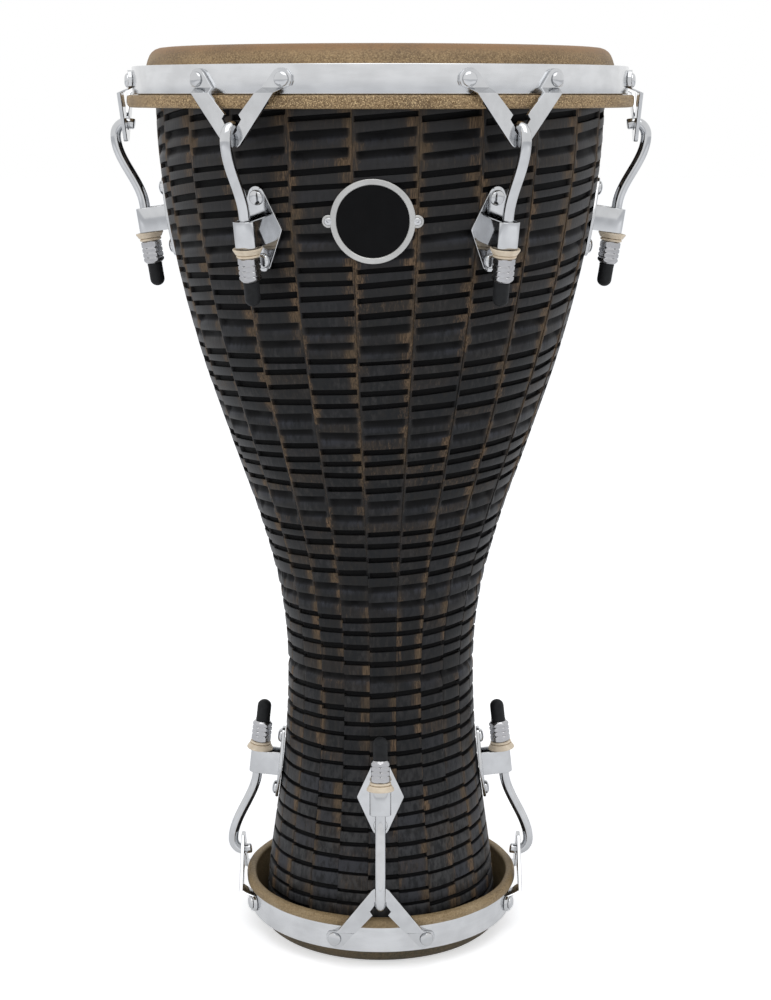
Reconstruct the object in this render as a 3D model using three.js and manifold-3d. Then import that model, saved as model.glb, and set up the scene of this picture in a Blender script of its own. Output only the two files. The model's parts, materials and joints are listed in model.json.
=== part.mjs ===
// A two-headed hourglass drum built of staves, standing on its small head.
// A hide skin is lapped round a flesh hoop at each end. A flat rim presses on the hoop, and
// tuning hooks pull the rim's riveted side plates towards lugs that are bolted to the shell.
//
// Millimetres, +Z up, origin in the middle of the small head's playing face, front towards -Y.
import * as THREE from "three";
import { mergeVertices, toCreasedNormals } from "three/addons/utils/BufferGeometryUtils.js";
import Module from "manifold-3d";

// Fits
const fitGap = 0.3;
const cutOverrun = 5;
const weldDistance = 0.001;

// Facets of round things
const bodySides = 36;
const badgeSides = 20;
const smallSides = 8;
const nutSides = 6;
const edgeSteps = 2;
const tabArcSteps = 4;
const strapArcSteps = 6;
const creaseAngle = THREE.MathUtils.degToRad(34);

// Shell: an hourglass whose waist lies low, and whose ends are rounded bearing edges
const drumHeight = 695.3;
const shellWaistHeight = 215;
const shellBowlRadius = 171;
const shellWaistRadius = 74.2;
const shellFootRadius = 94.6;
const shellWall = 12;
const bearingEdgeRadius = 5;
// Share of the way from the waist to the rim of the bowl, and share of the flare gained there
const bowlFlareShares = [
  [0.05, 0.006], [0.14, 0.062], [0.25, 0.2], [0.38, 0.416], [0.53, 0.659], [0.68, 0.842],
  [0.84, 0.96], [1, 1],
];
// The same from the waist down to the foot
const footFlareShares = [[0.17, 0.05], [0.36, 0.21], [0.58, 0.52], [0.8, 0.83], [1, 1]];

// Carving: in each group a scoop with a sharp upper edge, and a narrow kerf further down. Places are
// shares of the drum's height. A cut is [share of its width below its upper edge, share of its depth].
const scoopHeightShares = [0.917, 0.817, 0.723, 0.624, 0.532, 0.431, 0.325, 0.222];
const scoopWidth = 9.5;
const scoopDepth = 2.8;
const scoopCutShares = [[0, 0], [0.14, 1], [1, 0]];
const kerfDrop = 35.3;
const kerfWidth = 4.5;
const kerfDepth = 3;
const kerfCutShares = [[0, 0], [0.5, 1], [1, 0]];

// Corner of a low round head, in shares of its radius and of its height
const domeCornerShares = [0.75, 0.74];

// Skins and flesh hoops
const skinThickness = 1.6;
const skinShoulderRadius = 5.5;
const hoopCoreWidth = 5.8;
const hoopCoreHeight = 5.2;
// How far the outside of a lap stands out from its end of the shell
const bigHoopOverhang = 19.7;
const bigHoopDrop = 33.3;
const smallHoopOverhang = 15.4;
const smallHoopDrop = 35.5;

// Rims: a flat band over each flesh hoop
const rimHeight = 19;
const rimThickness = 3.5;
// How far the outside of a rim lies in from the outside of the lap that it presses on
const bigRimInset = 4.7;
const smallRimInset = 4.5;

// Side plates: a V of two arms, riveted to the rim and joined at the tip, where the hook pulls
const plateThickness = 3;
const plateStandoff = 1;
const plateDrop = 45;
const plateBridge = 9;
const rivetSpacing = 68.8;
const tabRadius = 7.5;
const foldStart = 5.5;
const foldLength = 3.5;
const rivetShankRadius = 2.6;
const rivetHeadRadius = 4.7;
const rivetHeadHeight = 2.6;
const rivetTailHeight = 1.6;
// Outline of half a plate, in shares of half the rivet spacing and of the plate's drop
const plateTipShares = [[0.13, 1], [0.19, 0.965]];
const plateNotchShares = [[0.17, 0.52], [0.23, 0.59]];
const windowNeckShare = 0.7;
const foldOuterShares = [0.98, 1.06];
const foldInnerShares = [0.55, 0.6];
const tabArcTurns = [0.03, -0.35];

// Hooks: round rod, arched over the plate's bridge and threaded at the other end
const rodRadius = 4;
const hookReach = 8.3;
const hookArchDrop = 9;
const hookTipReach = 6.5;
const hookTipSag = 1;
const hookBend = 19;
const hookMouth = 3;
const hookRoundShare = 0.55;
const rodSteps = 14;

// Lugs: a diamond plate bolted to the shell, carrying a folded strap that holds the rod
const bigLugDrop = 125;
const smallLugDrop = 131;
const lugPlateLength = 61;
const lugPlateWidth = 37;
const lugPlateEndWidth = 13;
const lugPlateThickness = 2.5;
const strapWidth = 16.5;
const strapHeight = 25.5;
const strapLength = 18.6;
const strapThickness = 2.5;
const boltSpacing = 44.5;
const boltShankRadius = 3;
const boltHeadRadius = 5.5;
const boltHeadHeight = 3.2;
const boltNutRadius = 6;
const boltNutHeight = 5;
const lugSeatSamples = 8;

// Tuning nut with its dished washer, and the cap over the thread's end
const washerRadius = 10.6;
const washerCollarRadius = 8.6;
const washerHeight = 6.4;
const washerRimHeight = 2.6;
const washerCollarHeight = 1.5;
const washerNeckRadius = 7;
const nutFlats = 14;
const nutHeight = 16.8;
const nutChamfer = 1.2;
const nutGrooveWidth = 1.1;
const nutGrooveDepth = 0.7;
const nutGrooves = 2;
const capRadius = 5.7;
const capLength = 17.5;
const capEndWall = 2.4;
// Corners of the cap's round end, in shares of its radius: from the axis, and back from the end
const capDomeShares = [[1, 0.8], [0.7, 0.2]];

// Badge: a bare round plate with a raised rim and two ears
const badgeDrop = 118.8;
const badgeOffset = -4.8;
const badgeRadius = 29.2;
const badgeRingWidth = 4.3;
const badgeThickness = 1.2;
const badgeRingThickness = 2.3;
const badgeRingEdgeShare = 0.7;
const badgeFaceRings = 3;
const badgeScrewSpacing = 61;
const badgeEarRadius = 4.9;
const badgeScrewRadius = 1.5;
const badgeScrewHeadRadius = 3.3;
const badgeScrewHeadHeight = 1.8;
const badgeScrewLength = 9;

// Counts, and how far the large head's pieces are turned round from the badge and the small head's
const bigLugs = 6;
const smallLugs = 4;
const bigHeadTurn = THREE.MathUtils.degToRad(-0.9);

const lacqueredWood = new THREE.MeshStandardMaterial({ color: 0x2a2622, roughness: 0.5, metalness: 0 });
const hide = new THREE.MeshStandardMaterial({ color: 0xd9c29a, roughness: 0.6, metalness: 0 });
const hoopSteel = new THREE.MeshStandardMaterial({ color: 0x8d8f92, roughness: 0.4, metalness: 1 });
const chrome = new THREE.MeshStandardMaterial({ color: 0xd4d6d9, roughness: 0.15, metalness: 1 });
const nylon = new THREE.MeshStandardMaterial({ color: 0xe0cdb4, roughness: 0.5, metalness: 0 });
const rubber = new THREE.MeshStandardMaterial({ color: 0x1c1d1f, roughness: 0.8, metalness: 0 });
const enamel = new THREE.MeshStandardMaterial({ color: 0x9b9b98, roughness: 0.35, metalness: 0.6 });

const wasm = await Module();
wasm.setup();

// A closed geometry as a solid, turned right side out if its profile ran the other way.
function solid(geometry) {
  const bare = geometry.index ? geometry.toNonIndexed() : geometry.clone();
  bare.deleteAttribute("normal");
  bare.deleteAttribute("uv");
  const merged = mergeVertices(bare, weldDistance);
  const corners = [];
  for (let i = 0; i < merged.index.count; i += 3) {
    const [a, b, c] = [0, 1, 2].map((k) => merged.index.getX(i + k));
    if (a !== b && b !== c && c !== a) corners.push([a, b, c]);
  }
  const made = (list) =>
    new wasm.Manifold(
      new wasm.Mesh({
        numProp: 3,
        vertProperties: new Float32Array(merged.attributes.position.array),
        triVerts: new Uint32Array(list.flat()),
      }),
    );
  const first = made(corners);
  return first.volume() < 0 ? made(corners.map(([a, b, c]) => [a, c, b])) : first;
}

function bareGeometry(body) {
  const data = body.getMesh();
  const geometry = new THREE.BufferGeometry();
  geometry.setAttribute("position", new THREE.BufferAttribute(data.vertProperties, 3));
  geometry.setIndex(new THREE.BufferAttribute(data.triVerts, 1));
  return geometry;
}

// A named mesh made from a solid.
function piece(name, body, material) {
  const mesh = new THREE.Mesh(toCreasedNormals(bareGeometry(body), creaseAngle), material);
  mesh.name = name;
  return mesh;
}

// A profile of [radius, height] points, turned about +Z. Its first corner faces -Y.
function turned(profile, sides) {
  const points = profile.map(([radius, height]) => new THREE.Vector2(radius, height));
  return new THREE.LatheGeometry(points, sides).rotateX(Math.PI / 2);
}

// The same for a ring, whose profile closes on itself.
function turnedRing(profile, sides) {
  return turned([...profile, profile[0]], sides);
}

// An outline of [x, y] points, pulled up +Z from zero to a depth.
function pulled(outline, depth) {
  const shape = new THREE.Shape(outline.map(([x, y]) => new THREE.Vector2(x, y)));
  return new THREE.ExtrudeGeometry(shape, { depth, bevelEnabled: false });
}

// Points on an arc about a centre, both ends included. Angles are in turns.
function arc([x, y], radius, from, to, steps) {
  return Array.from({ length: steps + 1 }, (_, i) => {
    const angle = 2 * Math.PI * (from + ((to - from) * i) / steps);
    return [x + radius * Math.cos(angle), y + radius * Math.sin(angle)];
  });
}

// A round bar along +Z between two heights.
function bar(radius, low, high, sides) {
  return turned([[0, low], [radius, low], [radius, high], [0, high]], sides);
}

// Each point of a geometry moved by a function of its place.
function bent(geometry, move) {
  const places = geometry.attributes.position;
  for (let i = 0; i < places.count; i++) {
    places.setXYZ(i, ...move(places.getX(i), places.getY(i), places.getZ(i)));
  }
  return geometry;
}

// Shell

const shellLow = skinThickness + fitGap;
const shellHigh = drumHeight - skinThickness - fitGap;

// The outside of the shell as [radius, height] points, from the foot up.
const shellOutline = [
  ...footFlareShares.toReversed().map(([way, flare]) => [
    shellWaistRadius + (shellFootRadius - shellWaistRadius) * flare,
    shellWaistHeight + (shellLow - shellWaistHeight) * way,
  ]),
  [shellWaistRadius, shellWaistHeight],
  ...bowlFlareShares.map(([way, flare]) => [
    shellWaistRadius + (shellBowlRadius - shellWaistRadius) * flare,
    shellWaistHeight + (shellHigh - shellWaistHeight) * way,
  ]),
];

// The inside follows every second point of the outside, a wall's thickness in.
const shellInside = shellOutline
  .filter((_, i) => i % 2 === 0 || i === shellOutline.length - 1)
  .map(([radius, height]) => [radius - shellWall, height]);

// The radius at a height, on the straight lines between an outline's points.
function radiusOn(outline, height) {
  const above = outline.findIndex((point) => point[1] >= height);
  const upper = above < 0 ? outline.length - 1 : Math.max(above, 1);
  const [[lowRadius, low], [highRadius, high]] = outline.slice(upper - 1, upper + 1);
  return lowRadius + ((highRadius - lowRadius) * (height - low)) / (high - low);
}

const shellRadius = (height) => radiusOn(shellOutline, height);

// One ring groove as [radius, height] points, from its lower edge up.
function groove(top, width, depth, cutShares) {
  return cutShares.toReversed().map(([down, deep]) => {
    const height = top - width * down;
    return [shellRadius(height) - depth * deep, height];
  });
}

// The shell's outside between its bearing edges, with the grooves cut into it.
function carvedOutline() {
  const grooves = scoopHeightShares.toReversed().flatMap((share) => [
    groove(drumHeight * share - kerfDrop, kerfWidth, kerfDepth, kerfCutShares),
    groove(drumHeight * share, scoopWidth, scoopDepth, scoopCutShares),
  ]);
  const isWhole = ([, height]) => grooves.every((cut) => height < cut[0][1] || height > cut.at(-1)[1]);
  const kept = shellOutline.slice(1, -1).filter(isWhole);
  return [...kept, ...grooves.flat()].sort((a, b) => a[1] - b[1]);
}

function shellBody() {
  const edge = (radius, height, from, to) =>
    arc([radius - bearingEdgeRadius, height], bearingEdgeRadius, from, to, edgeSteps);
  const profile = [
    ...edge(shellFootRadius, shellLow + bearingEdgeRadius, -0.25, 0),
    ...carvedOutline(),
    ...edge(shellBowlRadius, shellHigh - bearingEdgeRadius, 0, 0.25),
    ...shellInside.toReversed(),
  ];
  return solid(turnedRing(profile, bodySides));
}

// Heads. Each is described in its own frame: x across, y the drop from the playing face towards
// the drum's middle, and z the distance from the drum's axis.

const bigHead = {
  name: "top",
  up: 1,
  face: drumHeight,
  shellRadius: shellBowlRadius,
  hoopRadius: shellBowlRadius + bigHoopOverhang,
  hoopDrop: bigHoopDrop,
  rimRadius: shellBowlRadius + bigHoopOverhang - bigRimInset,
  lugDrop: bigLugDrop,
  lugs: bigLugs,
  firstLugAngle: Math.PI / bigLugs + bigHeadTurn,
};
const smallHead = {
  name: "bottom",
  up: -1,
  face: 0,
  shellRadius: shellFootRadius,
  hoopRadius: shellFootRadius + smallHoopOverhang,
  hoopDrop: smallHoopDrop,
  rimRadius: shellFootRadius + smallHoopOverhang - smallRimInset,
  lugDrop: smallLugDrop,
  lugs: smallLugs,
  firstLugAngle: 0,
};

// A ring of a head, turned from [radius, drop] points.
function headRing(head, profile, sides) {
  return turnedRing(profile.map(([radius, drop]) => [radius, head.face - head.up * drop]), sides);
}

// The flesh hoop's core, inside the lapped skin: inner and outer radius, near and far drop.
function hoopCore(head) {
  const outer = head.hoopRadius - skinThickness - fitGap;
  const near = head.hoopDrop + skinThickness + fitGap;
  return { inner: outer - hoopCoreWidth, outer, near, far: near + hoopCoreHeight };
}

function hoopBody(head) {
  const { inner, outer, near, far } = hoopCore(head);
  return solid(headRing(head, [[inner, near], [outer, near], [outer, far], [inner, far]], bodySides));
}

// The skin: a disc with a rounded shoulder, a cone down to the hoop, and a lap round the hoop.
function skinBody(head) {
  const core = hoopCore(head);
  const lapInner = core.inner - fitGap;
  const lapOuter = core.outer + fitGap;
  const lapNear = core.near - fitGap;
  const lapFar = core.far + fitGap;
  const collar = head.shellRadius + fitGap + skinThickness;
  const shoulder = (radius) =>
    arc([collar - skinShoulderRadius, skinShoulderRadius], radius, -0.25, 0, edgeSteps);
  const profile = [
    [0, 0],
    ...shoulder(skinShoulderRadius),
    [lapInner, lapNear],
    [lapInner, lapFar],
    [lapOuter, lapFar],
    [lapOuter, lapNear],
    [lapInner + skinThickness, lapNear],
    [lapInner + skinThickness, head.hoopDrop],
    [head.hoopRadius - skinThickness, head.hoopDrop],
    [head.hoopRadius, head.hoopDrop + skinThickness],
    [head.hoopRadius, lapFar],
    [head.hoopRadius - skinThickness, lapFar + skinThickness],
    [lapInner - skinThickness, lapFar + skinThickness],
    [lapInner - skinThickness, lapNear],
    ...shoulder(skinShoulderRadius - skinThickness).reverse(),
    [0, skinThickness],
  ];
  return solid(turned(profile.map(([radius, drop]) => [radius, head.face - head.up * drop]), bodySides));
}

// Rims with their side plates

const rimFar = (head) => head.hoopDrop - fitGap;
const rivetDrop = (head) => rimFar(head) - rimHeight / 2;
const plateInside = (head) => head.hoopRadius + plateStandoff;
const windowHalf = rodRadius + fitGap;
const windowEnd = plateDrop - plateBridge;

const mirrored = (outline) => outline.map(([x, y]) => [-x, y]).reverse();

// A side plate: flat outside the flesh hoop, and folded in so that its tabs hug the rim. Its
// three outlines, the arms, the folds and the tabs, meet along straight lines.
function plateBody(head) {
  const halfSpacing = rivetSpacing / 2;
  const place = ([across, down]) => [halfSpacing * across, plateDrop * down];
  const [outerEnd, outerStart] = foldOuterShares.map((share) => halfSpacing * share);
  const [innerEnd, innerStart] = foldInnerShares.map((share) => halfSpacing * share);
  const foldEnd = foldStart + foldLength;
  const arm = [
    ...plateTipShares.map(place),
    [outerEnd, foldEnd],
    [innerEnd, foldEnd],
    ...plateNotchShares.map(place),
    [windowHalf, plateDrop * windowNeckShare],
    [windowHalf, windowEnd - windowHalf / 2],
    [windowHalf / 2, windowEnd],
  ];
  const fold = [[outerEnd, foldEnd], [outerStart, foldStart], [innerStart, foldStart], [innerEnd, foldEnd]];
  const tab = [
    [outerStart, foldStart],
    ...arc([halfSpacing, 0], tabRadius, ...tabArcTurns, tabArcSteps),
    [innerStart, foldStart],
  ];
  const outlines = [[...arm, ...mirrored(arm)], fold, mirrored(fold), tab, mirrored(tab)];
  const hug = head.rimRadius + fitGap;
  const folded = (x, y, z) => {
    const out = THREE.MathUtils.clamp((y - foldStart) / foldLength, 0, 1);
    const inside = THREE.MathUtils.lerp(Math.sqrt(hug * hug - x * x), plateInside(head), out);
    return [x, y + rivetDrop(head), z + inside];
  };
  return outlines
    .map((outline) => solid(bent(pulled(outline, plateThickness), folded)))
    .reduce((whole, part) => whole.add(part));
}

// A low round head from its seat up, as [radius, height] points.
function dome(radius, seat, height) {
  const [across, up] = domeCornerShares;
  return [[radius, seat], [radius * across, seat + height * up], [0, seat + height]];
}

// A rivet, with its round head outside the tab and its tail standing inside the rim.
function rivetGeometry(head, side) {
  const tail = head.rimRadius - rimThickness - rivetTailHeight;
  const seat = head.rimRadius + plateThickness;
  const profile = [
    [0, tail],
    [rivetShankRadius, tail],
    [rivetShankRadius, seat],
    ...dome(rivetHeadRadius, seat, rivetHeadHeight),
  ];
  const angle = side * Math.asin(rivetSpacing / 2 / head.rimRadius);
  return turned(profile, smallSides).rotateY(angle).translate(0, rivetDrop(head), 0);
}

function rimBody(head) {
  const inner = head.rimRadius - rimThickness;
  const near = rimFar(head) - rimHeight;
  const band = [[inner, near], [head.rimRadius, near], [head.rimRadius, rimFar(head)], [inner, rimFar(head)]];
  let body = solid(headRing(head, band, bodySides));
  const plate = bareGeometry(
    plateBody(head).add(solid(rivetGeometry(head, 1))).add(solid(rivetGeometry(head, -1))),
  );
  for (const station of head.stations) {
    body = body.add(solid(plate.clone().applyMatrix4(station.frame.matrixWorld)));
  }
  return body;
}

// Lugs. A lug's frame has x across, y along the shell away from the head, and z out of the shell.

// The line on which a lug's plate lies: it clears the shell's outline over the plate's length.
function lugSeat(head) {
  const middle = head.face - head.up * head.lugDrop;
  const reach = lugPlateLength / 2;
  const slope = (shellRadius(middle + reach) - shellRadius(middle - reach)) / lugPlateLength;
  const lift = Array.from({ length: lugSeatSamples + 1 }, (_, i) => {
    const away = reach * ((2 * i) / lugSeatSamples - 1);
    return shellRadius(middle + away) - slope * away;
  });
  return { radius: Math.max(...lift), tilt: Math.atan(head.up * slope) };
}

// Groups that hold what belongs to one lug: the head's frame, the lug's frame and the rod's frame,
// whose z runs along the rod away from the head.
function makeStations(head) {
  const turn = new THREE.Matrix4().makeBasis(
    new THREE.Vector3(-head.up, 0, 0),
    new THREE.Vector3(0, 0, -head.up),
    new THREE.Vector3(0, -1, 0),
  );
  const seat = lugSeat(head);
  return Array.from({ length: head.lugs }, (_, i) => {
    const post = new THREE.Group();
    post.rotation.z = head.firstLugAngle + (2 * Math.PI * i) / head.lugs;
    const frame = new THREE.Group();
    frame.quaternion.setFromRotationMatrix(turn);
    frame.position.z = head.face;
    const lug = new THREE.Group();
    lug.position.set(0, head.lugDrop, seat.radius);
    lug.rotation.x = -seat.tilt;
    const rod = new THREE.Group();
    rod.position.z = rodStandoff;
    rod.rotation.x = -Math.PI / 2;
    post.add(frame);
    frame.add(lug);
    lug.add(rod);
    post.updateMatrixWorld(true);
    return { post, frame, lug, rod, number: i + 1, tilt: seat.tilt, radius: seat.radius };
  });
}

const lugPlateOutside = fitGap + lugPlateThickness;
const strapOutside = lugPlateOutside + strapHeight - lugPlateThickness;
const rodStandoff = strapOutside - strapThickness - fitGap - rodRadius;

// Depth of the shell's inside below a lug's seat at a bolt, square to the plate.
function boltDepth(head, station, along) {
  const height = head.face - head.up * (head.lugDrop + along * Math.cos(station.tilt));
  const seat = station.radius - along * Math.sin(station.tilt);
  return (seat - radiusOn(shellInside, height)) * Math.cos(station.tilt);
}

// A lug's bolt: a round head outside, a shank through the shell, and a nut inside it. A flat nut
// meets a round wall at its edges, so its seat is deeper by the rise of the wall's facets there.
function boltGeometry(head, station, along) {
  const depth = boltDepth(head, station, along);
  const rise = boltNutRadius * Math.tan(Math.PI / bodySides);
  const nutTop = -depth - rise - fitGap;
  const profile = [
    [0, nutTop - boltNutHeight],
    [boltNutRadius, nutTop - boltNutHeight],
    [boltNutRadius, nutTop],
    [boltShankRadius, nutTop],
    [boltShankRadius, lugPlateOutside - fitGap],
    ...dome(boltHeadRadius, lugPlateOutside - fitGap, boltHeadHeight),
  ];
  return turned(profile, smallSides).translate(0, along, 0);
}

const boltPlaces = [-boltSpacing / 2, boltSpacing / 2];

function lugBody(head, station) {
  const [halfWidth, halfLength, endHalf] = [lugPlateWidth / 2, lugPlateLength / 2, lugPlateEndWidth / 2];
  const quarter = [[halfWidth, 0], [endHalf, halfLength - endHalf / 2], [endHalf / 2, halfLength]];
  const right = [...quarter.slice(1).map(([x, y]) => [x, -y]).reverse(), ...quarter];
  const diamond = [...right, ...right.map(([x, y]) => [-x, y]).reverse()];
  const plate = pulled(diamond, lugPlateThickness).translate(0, 0, fitGap);

  const roundRadius = strapWidth / 2;
  const innerRadius = roundRadius - strapThickness;
  const crown = strapOutside - roundRadius;
  const foot = lugPlateOutside - lugPlateThickness / 2;
  const section = [
    [roundRadius, foot],
    ...arc([0, crown], roundRadius, 0, 0.5, strapArcSteps),
    [-roundRadius, foot],
    [-innerRadius, foot],
    ...arc([0, crown], innerRadius, 0.5, 0, strapArcSteps),
    [innerRadius, foot],
  ];
  const strap = pulled(section, strapLength).rotateX(Math.PI / 2).translate(0, strapLength / 2, 0);

  let body = solid(plate).add(solid(strap));
  for (const along of boltPlaces) body = body.add(solid(boltGeometry(head, station, along)));
  return body;
}

// Hook, washer, nut and cap, along the rod's axis

const strapEnd = strapLength / 2;
const washerStart = strapEnd + fitGap;
const nutStart = washerStart + washerHeight + fitGap;
const capStart = nutStart + nutHeight + fitGap;
const rodEnd = capStart + capLength - capEndWall - fitGap;
// A bore's flats clear the rod, however the two are turned
const boreRadius = (rodRadius + fitGap) / Math.cos(Math.PI / smallSides);

// A hook in its head's frame: the tip inside the plate, the arch over the plate's bridge, the
// bend in towards the lug, and the straight rod through strap, washer, nut and cap.
function hookBody(head, station) {
  const middle = plateInside(head) + plateThickness / 2;
  const crossing = rivetDrop(head) + windowEnd - fitGap - rodRadius - hookTipSag / 2;
  const at = (drop, radius) => new THREE.Vector3(0, drop, radius);
  const alongRod = new THREE.Vector3(0, Math.cos(station.tilt), -Math.sin(station.tilt));
  const outOfShell = new THREE.Vector3(0, Math.sin(station.tilt), Math.cos(station.tilt));
  const onRod = (along) =>
    at(head.lugDrop, station.radius)
      .addScaledVector(outOfShell, rodStandoff)
      .addScaledVector(alongRod, along);
  const tip = at(crossing + hookTipSag, middle - hookTipReach);
  const crown = at(crossing, middle);
  const outermost = at(crossing + hookArchDrop, middle + hookReach);
  const mouth = onRod(-strapEnd - hookMouth);
  const path = new THREE.CurvePath();
  path.add(new THREE.LineCurve3(tip, crown));
  path.add(
    new THREE.CubicBezierCurve3(
      crown,
      at(crossing, middle + hookReach * hookRoundShare),
      at(crossing + hookArchDrop * (1 - hookRoundShare), middle + hookReach),
      outermost,
    ),
  );
  path.add(
    new THREE.CubicBezierCurve3(
      outermost,
      outermost.clone().add(at(hookBend, 0)),
      mouth.clone().addScaledVector(alongRod, -hookBend),
      mouth,
    ),
  );
  path.add(new THREE.LineCurve3(mouth, onRod(rodEnd)));
  const section = new THREE.Shape(
    arc([0, 0], rodRadius, 0, 1, smallSides)
      .slice(1)
      .map(([x, y]) => new THREE.Vector2(x, y)),
  );
  return solid(new THREE.ExtrudeGeometry(section, { steps: rodSteps, extrudePath: path }));
}

function washerBody() {
  const top = washerStart + washerHeight;
  const neckHeight = washerHeight - washerRimHeight - washerCollarHeight;
  const profile = [
    [boreRadius, washerStart],
    [washerRadius, washerStart],
    [washerRadius, washerStart + washerRimHeight / 2],
    [washerNeckRadius, washerStart + washerRimHeight + neckHeight / 2],
    [washerNeckRadius, top - washerCollarHeight],
    [washerCollarRadius, top - washerCollarHeight],
    [washerCollarRadius, top],
    [boreRadius, top],
  ];
  return solid(turnedRing(profile, smallSides));
}

// A long hexagon nut with a chamfer at each end and grooves round it.
function nutBody() {
  const corner = nutFlats / 2 / Math.cos(Math.PI / nutSides);
  const end = nutStart + nutHeight;
  const pitch = nutHeight / (nutGrooves + 1);
  const grooves = Array.from({ length: nutGrooves }, (_, i) => {
    const middle = nutStart + pitch * (i + 1);
    return [
      [corner, middle - nutGrooveWidth / 2],
      [corner - nutGrooveDepth, middle],
      [corner, middle + nutGrooveWidth / 2],
    ];
  });
  const profile = [
    [0, nutStart],
    [corner - nutChamfer, nutStart],
    [corner, nutStart + nutChamfer / 2],
    ...grooves.flat(),
    [corner, end - nutChamfer / 2],
    [corner - nutChamfer, end],
    [0, end],
  ];
  const bore = bar(boreRadius, nutStart - cutOverrun, end + cutOverrun, smallSides);
  return solid(turned(profile, nutSides)).subtract(solid(bore));
}

function capBody() {
  const end = capStart + capLength;
  const profile = [
    [0, end - capEndWall],
    [boreRadius, end - capEndWall],
    [boreRadius, capStart],
    [capRadius, capStart],
    ...capDomeShares.map(([across, back]) => [capRadius * across, end - capRadius * back]),
    [0, end],
  ];
  return solid(turned(profile, smallSides));
}

// Badge

const badgeHeight = drumHeight - badgeDrop;
const badgeAngle = badgeOffset / shellRadius(badgeHeight);

// Flat badge coordinates wrapped onto the shell: x along its girth, y up, z out of its surface.
function onShell(x, y, z) {
  const height = badgeHeight + y;
  const radius = shellRadius(height) + fitGap + z;
  const angle = badgeAngle + x / shellRadius(badgeHeight);
  return [radius * Math.sin(angle), -radius * Math.cos(angle), height];
}

function badgeBody() {
  const inner = badgeRadius - badgeRingWidth;
  const rings = Array.from({ length: badgeFaceRings + 1 }, (_, i) => (inner * i) / badgeFaceRings);
  const profile = [
    ...rings.map((radius) => [radius, 0]),
    [badgeRadius, 0],
    [badgeRadius, badgeRingThickness * badgeRingEdgeShare],
    [badgeRadius - badgeRingWidth / 2, badgeRingThickness],
    ...rings.toReversed().map((radius) => [radius, badgeThickness]),
  ];
  let body = solid(bent(turned(profile, badgeSides), onShell));
  for (const screw of badgeScrews) {
    const ear = bar(badgeEarRadius, 0, badgeThickness, smallSides).translate(screw.x, 0, 0);
    body = body.add(solid(bent(ear, onShell)));
  }
  const hole = [
    [0, -cutOverrun],
    [badgeScrewRadius + fitGap, -cutOverrun],
    [badgeScrewRadius + fitGap, badgeThickness],
    [badgeScrewHeadRadius + fitGap, badgeThickness],
    [badgeScrewHeadRadius + fitGap, cutOverrun],
    [0, cutOverrun],
  ];
  for (const screw of badgeScrews) {
    body = body.subtract(solid(turned(hole, smallSides).applyMatrix4(screw.matrix)));
  }
  return body;
}

// The frame of a badge screw: its z runs square out of the ear.
const badgeScrews = ["left", "right"].map((side, i) => {
  const x = (i - 0.5) * badgeScrewSpacing;
  const at = (away, up) => new THREE.Vector3(...onShell(x + away, up, 0));
  const girth = at(badgeEarRadius, 0).sub(at(-badgeEarRadius, 0));
  const rise = at(0, badgeEarRadius).sub(at(0, -badgeEarRadius));
  const frame = new THREE.Object3D();
  frame.position.copy(at(0, 0));
  frame.lookAt(girth.cross(rise).normalize().add(frame.position));
  frame.updateMatrix();
  return { side, x, matrix: frame.matrix };
});

function badgeScrewBody(screw) {
  const seat = badgeThickness + fitGap;
  const profile = [
    [0, -badgeScrewLength],
    [badgeScrewRadius, -badgeScrewLength + badgeScrewRadius * 2],
    [badgeScrewRadius, seat],
    ...dome(badgeScrewHeadRadius, seat, badgeScrewHeadHeight),
  ];
  return solid(turned(profile, smallSides).applyMatrix4(screw.matrix));
}

// The drum put together

const drum = new THREE.Group();
let shell = shellBody();
for (const head of [bigHead, smallHead]) {
  head.stations = makeStations(head);
  drum.add(
    piece(head.name + "_skin", skinBody(head), hide),
    piece(head.name + "_flesh_hoop", hoopBody(head), hoopSteel),
    piece(head.name + "_rim", rimBody(head), chrome),
  );
  for (const station of head.stations) {
    const named = (part) => [head.name, part, station.number].join("_");
    station.frame.add(piece(named("hook"), hookBody(head, station), chrome));
    station.lug.add(piece(named("lug"), lugBody(head, station), chrome));
    station.rod.add(
      piece(named("washer"), washerBody(), nylon),
      piece(named("tuning_nut"), nutBody(), chrome),
      piece(named("thread_cap"), capBody(), rubber),
    );
    drum.add(station.post);
    for (const along of boltPlaces) {
      const deep = boltDepth(head, station, along) + cutOverrun;
      const hole = bar(boltShankRadius + fitGap, -deep, cutOverrun, smallSides).translate(0, along, 0);
      shell = shell.subtract(solid(hole.applyMatrix4(station.lug.matrixWorld)));
    }
  }
}
for (const screw of badgeScrews) {
  const hole = bar(badgeScrewRadius + fitGap, -badgeScrewLength - fitGap, cutOverrun, smallSides);
  shell = shell.subtract(solid(hole.applyMatrix4(screw.matrix)));
  drum.add(piece("badge_screw_" + screw.side, badgeScrewBody(screw), enamel));
}
drum.add(piece("badge", badgeBody(), enamel), piece("shell", shell, lacqueredWood));

export default drum;
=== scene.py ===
"""An hourglass stave drum on its small head, dressed for a render.

Shapes are worked out in millimetres and put into the meshes in metres. The drum's axis is Z, the front
faces -Y, and an azimuth runs from the front towards +X.
"""

import json

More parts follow.
